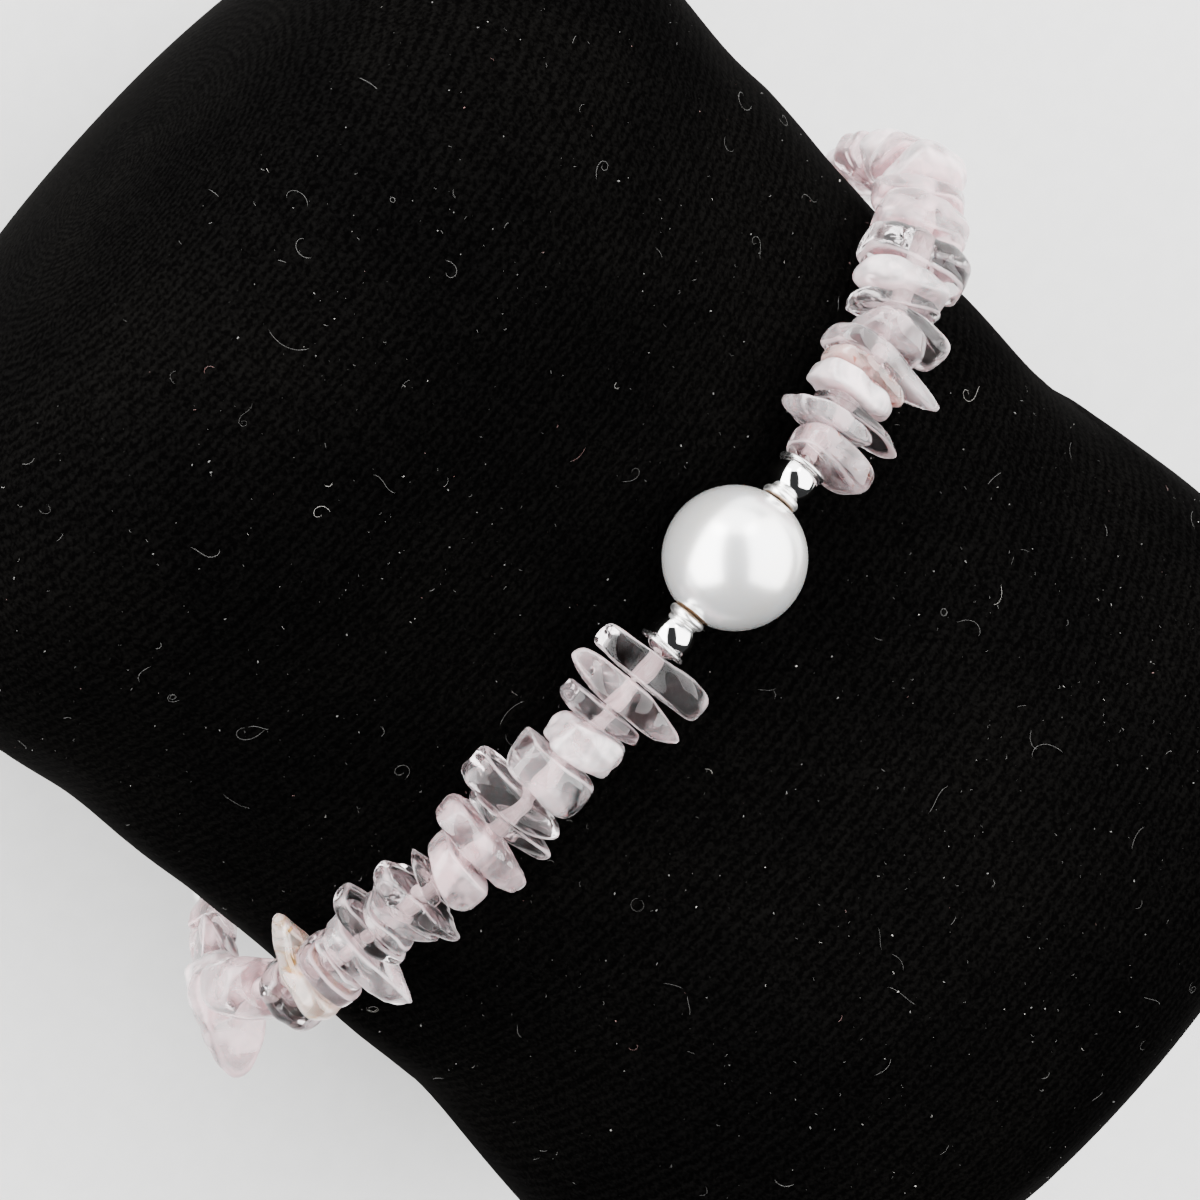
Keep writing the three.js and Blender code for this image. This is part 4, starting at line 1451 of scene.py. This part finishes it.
def arc(centre: tuple[float, float], radius: float, start: float, end: float, steps: int) -> Array:
    """Points on an arc in a profile: the centre plus radius (cos a, sin a).

    Args:
        centre: the arc's centre, from the axis and up.
        radius: its radius.
        start: its first angle a, in degrees.
        end: its last.
        steps: how many steps there are between them.

    Returns:
        The points, of shape (steps + 1, 2).
    """
    angle = np.radians(np.linspace(start, end, steps + 1))
    return np.array(centre) + radius * np.stack([np.cos(angle), np.sin(angle)], axis=-1)


@dataclass(frozen=True)
class Bead:
    """A drilled ball, with a rounded lip at each mouth of its bore."""

    diameter: float
    bore: float  # a radius
    lip: float = 0.08
    sides: int = 72
    rings: int = 48
    steps: int = 5  # round a lip, and along the bore's wall

    def profile(self) -> Array:
        """Its profile: the ball's arc, its lips and the bore's wall.

        Returns:
            The closed profile, of shape (n, 2), going up on its outer side.
        """
        radius = self.diameter / 2
        mouth = math.degrees(math.asin((self.bore + self.lip) / radius))
        skin = arc((0, 0), radius, -90 + mouth, 90 - mouth, self.rings)
        top = skin[-1][1]
        upper = arc((self.bore + self.lip, top - self.lip), self.lip, 90, 180, self.steps)[1:]
        wall = np.linspace(upper[-1], upper[-1] * MIRRORED, self.steps)[1:-1]
        return np.concatenate([skin, upper, wall, (upper * MIRRORED)[::-1]])

    def grid(self) -> Array:
        """Its points about its own middle."""
        return turned(self.profile(), self.sides)


@dataclass(frozen=True)
class Ring:
    """A ring of round wire."""

    diameter: float  # of the wire's centre line
    wire: float  # a diameter
    sides: int = 64
    steps: int = 20

    def grid(self) -> Array:
        """Its points about its own middle."""
        section = arc((self.diameter / 2, 0), self.wire / 2, -180, 180, self.steps)[:-1]
        return turned(section, self.sides)


@dataclass(frozen=True)
class Barrel:
    """The slider's barrel, with its ends and its bore's mouths rounded off."""

    length: float = 6.5
    diameter: float = 3.6
    bore: float = 0.8
    edge: float = 0.8
    lip: float = 0.12
    sides: int = 72
    edge_steps: int = 12
    lip_steps: int = 6
    wall_steps: int = 14

    def profile(self) -> Array:
        """Its profile: its side, an edge, a lip, the bore's wall and the same below.

        Returns:
            The closed profile, of shape (n, 2), going up on its outer side.
        """
        radius, half, edge = self.diameter / 2, self.length / 2, self.edge
        outer = arc((radius - edge, half - edge), edge, 0, 90, self.edge_steps)
        inner = arc((self.bore + self.lip, half - self.lip), self.lip, 90, 180, self.lip_steps)
        side = np.linspace(outer[0] * MIRRORED, outer[0], self.wall_steps)[1:-1]
        wall = np.linspace(inner[-1], inner[-1] * MIRRORED, self.wall_steps)[1:-1]
        lower_inner, lower_outer = (inner * MIRRORED)[::-1], (outer * MIRRORED)[::-1]
        return np.concatenate([lower_outer, side, outer, inner, wall, lower_inner])

    def grid(self) -> Array:
        """Its points about its own middle."""
        return turned(self.profile(), self.sides)


@dataclass
class Metalwork:
    """The pearl's silver neighbours and the closure: spacers, balls, washers, end beads, chain."""

    loop: Loop
    silver: Material
    satin: Material
    grey: Material
    spacer: Ring = Ring(2.1, 0.64)
    spacer_at: float = 5.23
    ball: Bead = Bead(3.3, 0.55)
    ball_at: float = 6.85
    washer: Ring = Ring(3.2, 0.34)
    washer_at: float = 7.84
    end_bead: Bead = Bead(3.0, 0.55)
    slider: Barrel = Barrel()
    gap: float = 0.25  # between a strand's last chip and its end bead, and on to the chain
    into_slider: float = 2.0
    link_length: float = 1.36
    link_width: float = 0.94
    link_wire: float = 0.26
    link_pitch: float = 0.82
    link_steps: int = 24  # along a link's wire
    link_sides: int = 10  # and round it

    def string(self, name: str, grid: Array, at: float, material: Material) -> None:
        """Makes a turned piece at a place on the loop, standing for the solid of the same name.

        Args:
            name: the solid's name.
            grid: the piece's points about its own middle.
            at: its place along the thread, from the pearl's centre.
            material: its finish.
        """
        shell = Shell.from_grid(self.loop.strung(grid, at))
        place_piece(shell.piece(f"{name}_turned", [material]), "silver", name)

    def build(self, strands: list[Strand]) -> None:
        """Makes all the metal pieces.

        Args:
            strands: the two strands, whose ends say where the end beads sit.
        """
        for strand in strands:
            side, hand = strand.side, strand.hand
            self.string(f"spacer_{hand}", self.spacer.grid(), side * self.spacer_at, self.satin)
            self.string(f"ball_{hand}", self.ball.grid(), side * self.ball_at, self.silver)
            self.string(f"washer_{hand}", self.washer.grid(), side * self.washer_at, self.grey)
            bead = self.bead_place(strand)
            self.string(f"end_bead_{hand}", self.end_bead.grid(), side * bead, self.silver)
            self.build_chain(strand)
        self.string("slider_bead", self.slider.grid(), self.loop.length / 2, self.silver)

    def bead_place(self, strand: Strand) -> float:
        """How far along the thread a strand's end bead sits."""
        return strand.end + self.gap + self.end_bead.diameter / 2

    def build_chain(self, strand: Strand) -> None:
        """Makes the links of one end of the chain, each turned a quarter from the last.

        A link is an oval of round wire: its centre line is (a cos t, b sin t), and the wire's
        section is a circle across it.

        Args:
            strand: the strand that this end of the chain hangs on.
        """
        start = self.bead_place(strand) + self.end_bead.diameter / 2 + self.gap
        end = (self.loop.length - self.slider.length) / 2 + self.into_slider
        count = int((end - start - self.link_length) / self.link_pitch) + 1
        first = start + self.link_length / 2
        link = self.link_grid()
        shells = []
        for k in range(count):
            quarter = math.pi / 4 + (math.pi / 2) * (k % 2)
            c, s = math.cos(quarter), math.sin(quarter)
            spun = link @ np.array([[c, s, 0.0], [-s, c, 0.0], [0.0, 0.0, 1.0]])
            grid = self.loop.strung(spun, strand.side * (first + k * self.link_pitch))
            shells.append(Shell.from_grid(grid))
        piece = Shell.joined(shells).piece(f"chain_{strand.hand}_links", [self.silver])
        place_piece(piece, "silver", f"chain_{strand.hand}")

    def link_grid(self) -> Array:
        """One link's points about its own middle, its length along Z.

        Returns:
            Points of shape (link_steps, link_sides, 3).
        """
        wire = self.link_wire / 2
        a, b = self.link_length / 2 - wire, self.link_width / 2 - wire
        t = np.linspace(0, 2 * math.pi, self.link_steps, endpoint=False)[:, None]
        u = np.linspace(0, 2 * math.pi, self.link_sides, endpoint=False)[None, :]
        normal = unit(np.stack([np.cos(t) / a, np.sin(t) / b], axis=-1))
        z = a * np.cos(t) + wire * np.cos(u) * normal[..., 0]
        x = b * np.sin(t) + wire * np.cos(u) * normal[..., 1]
        y = np.broadcast_to(wire * np.sin(u), z.shape)
        return np.stack([x, y, z], axis=-1)


@dataclass
class Pearl:
    """The large drilled pearl: a ball that isn't quite true, with a painted shadow of dark brown
    nacre at each mouth of its bore.
    """

    loop: Loop
    nacre: Material
    # the dark brown finish at its bore's mouths: a painted shadow
    worn: Material
    bead: Bead = Bead(10.0, 0.6, lip=0.15, sides=144, rings=110)
    shadow_rings: int = 5  # how many of its rings next to each mouth carry the painted shadow
    waviness: float = 0.012
    waves: int = 6
    wave_turn: float = 0.5  # how fast a wave turns, in radians per millimetre
    seed: int = 11

    def build(self) -> None:
        """Makes the pearl, its skin pressed in by a few broad waves."""
        grid = self.bead.grid()
        random = np.random.default_rng(self.seed)
        waves = random.normal(size=(self.waves, 3)) * self.wave_turn
        phases = random.uniform(0, 2 * math.pi, self.waves)
        height = np.cos(grid @ waves.T + phases).mean(axis=-1, keepdims=True)
        grid = grid * (1 - self.waviness / self.bead.diameter * (1 + height))
        shell = Shell.from_grid(self.loop.strung(grid, 0.0))
        ring = np.arange(grid.shape[1])
        # the rings by each mouth take the second finish, a painted shadow
        in_shadow = (ring < self.shadow_rings) | (ring >= self.bead.rings - self.shadow_rings)
        shell.finishes = np.tile(in_shadow.astype(np.int32), self.bead.sides)
        place_piece(shell.piece("pearl_nacre", [self.nacre, self.worn]), "pearl", "pearl")


@dataclass
class Thread:
    """The beading thread: two plies twisted together, along the loop from end bead to end bead."""

    loop: Loop
    material: Material
    radius: float = 0.25
    pitch: float = 0.9  # along the thread, for one turn of the plies
    groove: float = 0.22  # the depth of the groove between them, as a share of the radius
    point: float = 0.001  # what is left of the radius where an end is closed
    step: float = 0.15
    sides: int = 16

    def build(self, start: float, end: float) -> None:
        """Makes the thread: its radius is R (1 - g + g |cos(u - 2 pi s / pitch)|), g its groove.

        Args:
            start: one end, along the loop from the pearl's centre.
            end: the other one.
        """
        steps = round((end - start) / self.step)
        distance = np.linspace(start, end, steps + 1)
        place = self.loop.at(distance)
        across = np.cross(place.along, place.outward)
        u = np.linspace(0, 2 * math.pi, self.sides, endpoint=False)
        turn = u[None, :] - 2 * math.pi * distance[:, None] / self.pitch
        radius = self.radius * (1 - self.groove + self.groove * np.abs(np.cos(turn)))
        radius[[0, -1]] *= self.point
        grid = tube(place.point, place.outward, across, radius, u)
        shell = Shell.from_grid(grid, wrap_rows=False, flip=True)
        place_piece(shell.piece("thread_plies", [self.material]), "thread", "thread")


# ---- The pillow ---------------------------------------------------------------------------------
@dataclass
class Pillow:
    """The stuffed display pillow: blown up like cloth from a slightly smaller start shape.

    Its waist keeps close to the start shape, since the bracelet holds it in.
    """

    loop: Loop
    material: Material
    voxel: float = 2.6
    shrink: float = 0.8  # how far the start shape lies within the solid, away from the waist
    waist_half: float = 7.0
    waist_blend: float = 16.0  # how far beyond that the waist's hold fades
    pressure: float = 4.0
    frames: int = 20
    cap: float = 1.6  # how far a point may move
    waist_cap: float = 0.15
    pucker: float = 0.35
    pucker_count: int = 17
    pucker_fade: float = 9.0  # the length over which they die out
    pucker_start: float = 5.0  # and over which they start
    fill: float = 0.8
    end_from: float = 38.0  # how far from its middle its ends start to close
    end_radius: float = 30.0  # their mean radius there
    end_height: float = 27.5  # the height of their middles

    def build(self) -> bpy.types.Object:
        """Makes the pillow from a copy of its solid.

        Returns:
            The pillow.
        """
        piece = self.start_shape()
        self.blow_up(piece)
        smooth = piece.modifiers.new("smooth", "SUBSURF")
        smooth.levels = smooth.render_levels = 1
        self.shape_up(piece)
        self.lay_ribs(piece)
        piece.data.materials.clear()
        piece.data.materials.append(self.material)
        piece.data.shade_smooth()
        place_piece(piece, "velvet", "display_pillow")
        return piece

    def away_from_waist(self, points: Array) -> Array:
        """From 0 under the bracelet to 1 well away from it, for points in millimetres."""
        beyond = np.abs(points[:, 1] - self.loop.y) - self.waist_half
        return smoothstep(beyond / self.waist_blend)

    def start_shape(self) -> bpy.types.Object:
        """Copies the solid, merges it, moves it in and remeshes it evenly.

        Returns:
            The piece that the cloth starts from.
        """
        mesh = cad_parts["display_pillow"].data.copy()
        mesh.name = "pillow_velvet"
        work = bmesh.new()
        work.from_mesh(mesh)
        bmesh.ops.remove_doubles(work, verts=work.verts, dist=0.01 * MM)
        work.to_mesh(mesh)
        work.free()
        piece = bpy.data.objects.new("pillow_velvet", mesh)
        bpy.context.scene.collection.objects.link(piece)
        remesh = piece.modifiers.new("even", "REMESH")
        remesh.mode, remesh.voxel_size = "VOXEL", self.voxel * MM
        self.apply(piece)
        points, normals = self.points_of(piece), self.normals_of(piece)
        inwards = self.shrink * self.away_from_waist(points)[:, None]
        self.move_to(piece, points - normals * inwards)
        return piece

    def blow_up(self, piece: bpy.types.Object) -> None:
        """Blows the piece up as cloth with pressure and no gravity, and caps how far it moved.

        Args:
            piece: the pillow in its start shape.
        """
        start = self.points_of(piece)
        cloth = piece.modifiers.new("stuffing", "CLOTH")
        cloth.settings.use_pressure = True
        cloth.settings.uniform_pressure_force = self.pressure
        cloth.settings.effector_weights.gravity = 0.0
        cloth.point_cache.frame_start, cloth.point_cache.frame_end = 1, self.frames
        for step in range(1, self.frames + 1):
            bpy.context.scene.frame_set(step)
        self.apply(piece)
        bpy.context.scene.frame_set(1)
        moved = self.points_of(piece) - start
        size = np.linalg.norm(moved, axis=1, keepdims=True)
        away = self.away_from_waist(start)[:, None]
        cap = self.waist_cap + (self.cap - self.waist_cap) * away
        self.move_to(piece, start + moved * np.minimum(1.0, cap / np.maximum(size, 1e-6)))

    def shape_up(self, piece: bpy.types.Object) -> None:
        """Adds shallow puckers that run from the waist, and keeps the underside flat.

        A pucker's depth is pucker (0.5 + 0.5 cos(count a + w)) e^(-d / fade), at the angle a round
        the pillow and the distance d from the waist, where w makes it wander a little.

        Args:
            piece: the pillow.
        """
        points, normals = self.points_of(piece), self.normals_of(piece)
        angle = np.arctan2(points[:, 2] - self.loop.z, points[:, 0])
        beyond = np.abs(points[:, 1] - self.loop.y) - self.waist_half
        wander = 0.6 * np.sin(0.21 * points[:, 1] + 2.0 * angle)
        depth = self.pucker * (0.5 + 0.5 * np.cos(self.pucker_count * angle + wander))
        depth = depth * np.exp(-np.abs(beyond) / self.pucker_fade)
        depth = depth * smoothstep(beyond / self.pucker_start + 1.0)
        points = points - normals * depth[:, None]
        points[:, 2] = np.maximum(points[:, 2], 0.0)
        self.move_to(piece, points)

    def lay_ribs(self, piece: bpy.types.Object) -> None:
        """Stores how far each point lies along the pillow, for the velvet's ribs to follow.

        That is y along its side. Beyond the place e where an end starts to close it is
        e + R atan2(|y| - e, r), with r across the pillow and R the end's mean radius.

        Args:
            piece: the pillow.
        """
        x, y, z = self.points_of(piece).T
        across = np.hypot(x, z - self.end_height)
        beyond = self.end_from + self.end_radius * np.arctan2(np.abs(y) - self.end_from, across)
        along = np.where(np.abs(y) < self.end_from, y, np.sign(y) * beyond)
        attribute = piece.data.attributes.new(RIB_LINES, "FLOAT", "POINT")
        attribute.data.foreach_set("value", (along * MM).astype(np.float32))

    @staticmethod
    def points_of(piece: bpy.types.Object) -> Array:
        """A piece's points.

        Args:
            piece: the piece.

        Returns:
            Its points in millimetres, of shape (n, 3).
        """
        values = np.empty(3 * len(piece.data.vertices))
        piece.data.vertices.foreach_get("co", values)
        return values.reshape(-1, 3) / MM

    @staticmethod
    def normals_of(piece: bpy.types.Object) -> Array:
        """A piece's normals.

        Args:
            piece: the piece.

        Returns:
            The normal at each of its points, of shape (n, 3).
        """
        values = np.empty(3 * len(piece.data.vertices))
        piece.data.vertex_normals.foreach_get("vector", values)
        return values.reshape(-1, 3)

    @staticmethod
    def move_to(piece: bpy.types.Object, points: Array) -> None:
        """Moves a piece's points to places in millimetres."""
        piece.data.vertices.foreach_set("co", (points * MM).astype(np.float32).ravel())
        piece.data.update()

    @staticmethod
    def apply(piece: bpy.types.Object) -> None:
        """Takes a piece's modifiers into its mesh and removes them.

        Args:
            piece: the piece.
        """
        graph = bpy.context.evaluated_depsgraph_get()
        mesh = bpy.data.meshes.new_from_object(piece.evaluated_get(graph))
        piece.modifiers.clear()
        piece.data = mesh
        mesh.name = piece.name


@dataclass
class Lint:
    """Pale specks and short curly fibres on the velvet, on the side that faces up."""

    pillow: bpy.types.Object
    materials: list[Material]  # from the commonest to the rarest
    shares: tuple[float, ...] = (0.85, 0.11, 0.04)
    specks: int = 1300
    speck_size: tuple[float, float] = (0.012, 0.05)  # a radius, and how much larger it may be
    speck_drawn: float = 2.5  # how far it may be drawn out, as a share of its size
    speck_height: float = 0.6  # how high its middle lies, as a share of its size
    speck_sides: int = 6
    speck_rings: int = 5
    speck_pole: float = 0.12  # how far from its poles its first and last rings are, in radians
    fibres: int = 460
    fibre_length: tuple[float, float] = (0.2, 3.2)  # its least, and how much longer it may be
    fibre_radius: tuple[float, float] = (0.005, 0.011)
    fibre_lift: tuple[float, float] = (0.04, 0.2)  # at its ends, and how much more in its middle
    fibre_point: float = 1e-4  # its radius where an end is closed
    fibre_steps: int = 12
    fibre_sides: int = 5
    half_area: tuple[float, float] = (38.0, 50.0)
    above: float = 80.0  # the height that the velvet is looked down on from
    least_up: float = 0.25  # the least that the velvet may face up where something lies
    seed: int = 5

    @cached_property
    def velvet(self) -> BVHTree:
        """The pillow's finished surface."""
        return BVHTree.FromObject(self.pillow, bpy.context.evaluated_depsgraph_get())

    def build(self) -> None:
        """Makes the specks as one piece and the fibres as another."""
        random = np.random.default_rng(self.seed)
        specks = [self.speck(random, *spot) for spot in self.spots(random, self.specks)]
        fibres = [self.fibre(random, spot) for spot, _ in self.spots(random, self.fibres)]
        for name, shells in (("lint_specks", specks), ("lint_fibres", fibres)):
            made = [shell for shell in shells if shell]
            for shell in made:
                shell.finishes[:] = random.choice(len(self.shares), p=self.shares)
            place_piece(Shell.joined(made).piece(name, self.materials), "thread")

    def below(self, x: float, y: float) -> tuple[Vector | None, Vector | None]:
        """Where the velvet is met straight down from a place, in metres, and its normal there."""
        return self.velvet.ray_cast(Vector((x, y, self.above)) * MM, Vector((0, 0, -1)))[:2]

    def spots(self, random: np.random.Generator, count: int) -> list[tuple[Array, Array]]:
        """Random places on the velvet, found by looking straight down on it.

        Args:
            random: where chance comes from.
            count: how many places to try.

        Returns:
            Each place that was hit, in millimetres, and its normal.
        """
        corner = np.array(self.half_area)
        found = []
        for x, y in random.uniform(-corner, corner, size=(count, 2)):
            hit, normal = self.below(x, y)
            if hit is not None and normal.z > self.least_up:
                found.append((np.array(hit) / MM, np.array(normal)))
        return found

    def speck(self, random: np.random.Generator, spot: Array, up: Array) -> Shell:
        """A tiny lump of lint: a ball of random size, drawn out in a random direction.

        Args:
            random: where chance comes from.
            spot: where it lies.
            up: the velvet's normal there.

        Returns:
            The lump.
        """
        least, more = self.speck_size
        size = least + more * random.random() ** 5
        stretch = unit(random.normal(size=3)) * size * random.uniform(0, self.speck_drawn)
        u = np.linspace(0, 2 * math.pi, self.speck_sides, endpoint=False)[None, :]
        v = np.linspace(self.speck_pole, math.pi - self.speck_pole, self.speck_rings)[:, None]
        ball = np.stack([np.sin(v) * np.cos(u), np.sin(v) * np.sin(u), np.cos(v) + 0 * u], axis=-1)
        drawn = ball * size + np.clip(ball @ unit(stretch), 0, None)[..., None] * stretch
        poles = drawn[[0, -1]].mean(axis=1, keepdims=True).repeat(self.speck_sides, axis=1)
        grid = np.concatenate([poles[:1], drawn, poles[1:]])
        return Shell.from_grid(spot + up * size * self.speck_height + grid, wrap_rows=False)

    def fibre(self, random: np.random.Generator, spot: Array) -> Shell | None:
        """A short curly fibre that lies on the velvet: a thin tube on an arc that curls up tighter.

        Its heading turns by bend s + tighter s^2 / 2 at the distance s along it.

        Args:
            random: where chance comes from.
            spot: where it starts.

        Returns:
            The fibre, or None where it would hang over an edge.
        """
        least, more = self.fibre_length
        length = least + more * random.random() ** 6
        bend, tighter = random.normal() * 2.0 / length**0.5, random.normal() * 1.2
        s = np.linspace(0, length, self.fibre_steps)
        heading = random.uniform(0, 2 * math.pi) + bend * s + tighter * s**2 / 2
        x = spot[0] + np.concatenate([[0], np.cumsum(np.cos(heading[:-1]) * np.diff(s))])
        y = spot[1] + np.concatenate([[0], np.cumsum(np.sin(heading[:-1]) * np.diff(s))])
        hits = [self.below(*place)[0] for place in zip(x, y)]
        if any(hit is None for hit in hits):
            return None
        line = np.array([tuple(hit) for hit in hits]) / MM
        low, higher = self.fibre_lift
        line[:, 2] += low + higher * random.random() * np.sin(math.pi * s / length)
        along = unit(np.gradient(line, axis=0))
        side = unit(np.cross(along, (0, 0, 1)))
        up = np.cross(side, along)
        radius = np.full(self.fibre_steps, random.uniform(*self.fibre_radius))
        radius[[0, -1]] = self.fibre_point
        u = np.linspace(0, 2 * math.pi, self.fibre_sides, endpoint=False)
        return Shell.from_grid(tube(line, side, up, radius[:, None], u), wrap_rows=False)


# ---- The studio ---------------------------------------------------------------------------------
@dataclass(frozen=True)
class Softbox:
    """A large soft light that faces the aim, placed from it along the camera's own axes."""

    name: str
    right: float
    up: float
    back: float
    width: float
    height: float  # along the camera's up direction
    watts: float


@dataclass
class Studio:
    """The pale sheet, the soft lights and the camera."""

    paper: Material
    azimuth: float = 4.106  # of the camera, in degrees
    elevation: float = 66.355
    roll: float = 126.723
    distance: float = 400.0
    aim: tuple[float, float, float] = (-0.40, -3.12, 29.50)
    lens: float = 167.6
    sensor: float = 36.0
    sheet_half: float = 2500.0
    sheet_lines: int = 9
    softboxes: tuple[Softbox, ...] = (
        Softbox("light_left", -325, 60, 290, 470, 900, 18.0),
        Softbox("light_right", 372, 60, 215, 670, 900, 17.0),
        Softbox("light_top", 0, 430, 260, 560, 380, 5.0),
    )
    world: Colour = (0.040, 0.041, 0.043)

    @cached_property
    def axes(self) -> Array:
        """The camera's own directions: its azimuth round Z, its elevation, and its roll.

        Returns:
            Its right, up and back directions, as rows.
        """
        a, e, r = (math.radians(value) for value in (self.azimuth, self.elevation, self.roll))
        back = np.array([math.sin(a) * math.cos(e), -math.cos(a) * math.cos(e), math.sin(e)])
        level = np.array([math.cos(a), math.sin(a), 0.0])
        upright = np.cross(back, level)
        right = math.cos(r) * level + math.sin(r) * upright
        return np.stack([right, np.cross(back, right), back])

    @staticmethod
    def pose(axes: Array, position: Array) -> Matrix:
        """The matrix that turns and places a camera or a light.

        Args:
            axes: its right, up and back directions, as rows.
            position: its place, in millimetres.

        Returns:
            The matrix.
        """
        matrix = Matrix(axes.T.tolist()).to_4x4()
        matrix.translation = Vector((position * MM).tolist())
        return matrix

    def build(self) -> None:
        """Makes the sheet, the lights and the camera."""
        self.build_sheet()
        self.build_camera()
        self.build_lights()

    def build_sheet(self) -> None:
        """Makes the pale sheet that the pillow lies on."""
        u = np.linspace(-self.sheet_half, self.sheet_half, self.sheet_lines)
        x, y = np.meshgrid(u, u)
        grid = np.stack([x, y, np.zeros_like(x)], axis=-1)
        shell = Shell.from_grid(grid, wrap_rows=False, wrap_columns=False, flip=True)
        sheet = shell.piece("sheet", [self.paper])

    def build_camera(self) -> None:
        """Makes the camera."""
        data = bpy.data.cameras.new("camera")
        data.lens, data.sensor_width = self.lens, self.sensor
        camera = bpy.data.objects.new("camera", data)
        bpy.context.scene.collection.objects.link(camera)
        position = np.array(self.aim) + self.distance * self.axes[2]
        camera.matrix_world = self.pose(self.axes, position)
        bpy.context.scene.camera = camera

    def build_lights(self) -> None:
        """Makes the soft lights, and the faint light from all round."""
        for box in self.softboxes:
            self.build_softbox(box)
        world = bpy.data.worlds.new("studio")
        world.use_nodes = True
        background = world.node_tree.nodes["Background"]
        background.inputs["Color"].default_value = (*self.world, 1.0)
        background.inputs["Strength"].default_value = 1.0
        bpy.context.scene.world = world

    def build_softbox(self, box: Softbox) -> None:
        """Makes one large soft light.

        Args:
            box: its size, place and power.
        """
        data = bpy.data.lights.new(box.name, "AREA")
        data.shape, data.size, data.size_y = "RECTANGLE", box.width * MM, box.height * MM
        data.energy = box.watts
        light = bpy.data.objects.new(box.name, data)
        bpy.context.scene.collection.objects.link(light)
        offset = np.array([box.right, box.up, box.back]) @ self.axes
        back = unit(offset)
        right = unit(np.cross(self.axes[1], back))
        axes = np.stack([right, np.cross(back, right), back])
        light.matrix_world = self.pose(axes, np.array(self.aim) + offset)


def main() -> None:
    """Builds everything in order and writes how large it came out."""
    logging.basicConfig(level=logging.INFO, format="%(name)s %(message)s")
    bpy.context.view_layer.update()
    loop = Loop()
    silver = Silver().material()
    satin = Silver("silver_satin", (0.93, 0.92, 0.91), 0.30, 0.42).material()
    stones = {stone: stone.value.material() for stone in Stone}
    bore = Frosted().material()
    strands = [
        Strand(Hand.RIGHT, RIGHT_CHIPS, RIGHT_HIDDEN, loop, stones, bore),
        Strand(Hand.LEFT, LEFT_CHIPS, LEFT_HIDDEN, loop, stones, bore),
    ]
    for strand in strands:
        strand.build()
    # dark brown nacre for the pearl's bore mouths: a painted shadow
    worn = Nacre("nacre_mouth_shadow", (0.20, 0.11, 0.05), (0.12, 0.065, 0.03))
    Pearl(loop, Nacre().material(), worn.material()).build()
    grey = Silver("silver_grey", (0.55, 0.545, 0.54), 0.22, 0.32).material()
    metal = Metalwork(loop, silver, satin, grey)
    metal.build(strands)
    # the thread's second colour is painted shade in the grooves of its twist
    thread = Thread(loop, Fibre("thread_fibre", (0.86, 0.80, 0.79), (0.62, 0.55, 0.54)).material())
    ends = sorted(strand.side * metal.bead_place(strand) for strand in strands)
    thread.build(*ends)
    pillow = Pillow(loop, Velvet().material()).build()
    # each lint's second colour is painted shade in the grooves of its twist
    lint = (
        Fibre("lint_dim", (0.07, 0.068, 0.063), (0.025, 0.024, 0.022), 8.0),
        Fibre("lint_bright", (0.36, 0.345, 0.32), (0.13, 0.125, 0.115), 8.0),
        Fibre("lint_red", (0.12, 0.04, 0.035), (0.05, 0.018, 0.016), 8.0),
    )
    Lint(pillow, [fibre.material() for fibre in lint]).build()
    Studio(Paper().material()).build()


if __name__ == "__main__":
    main()
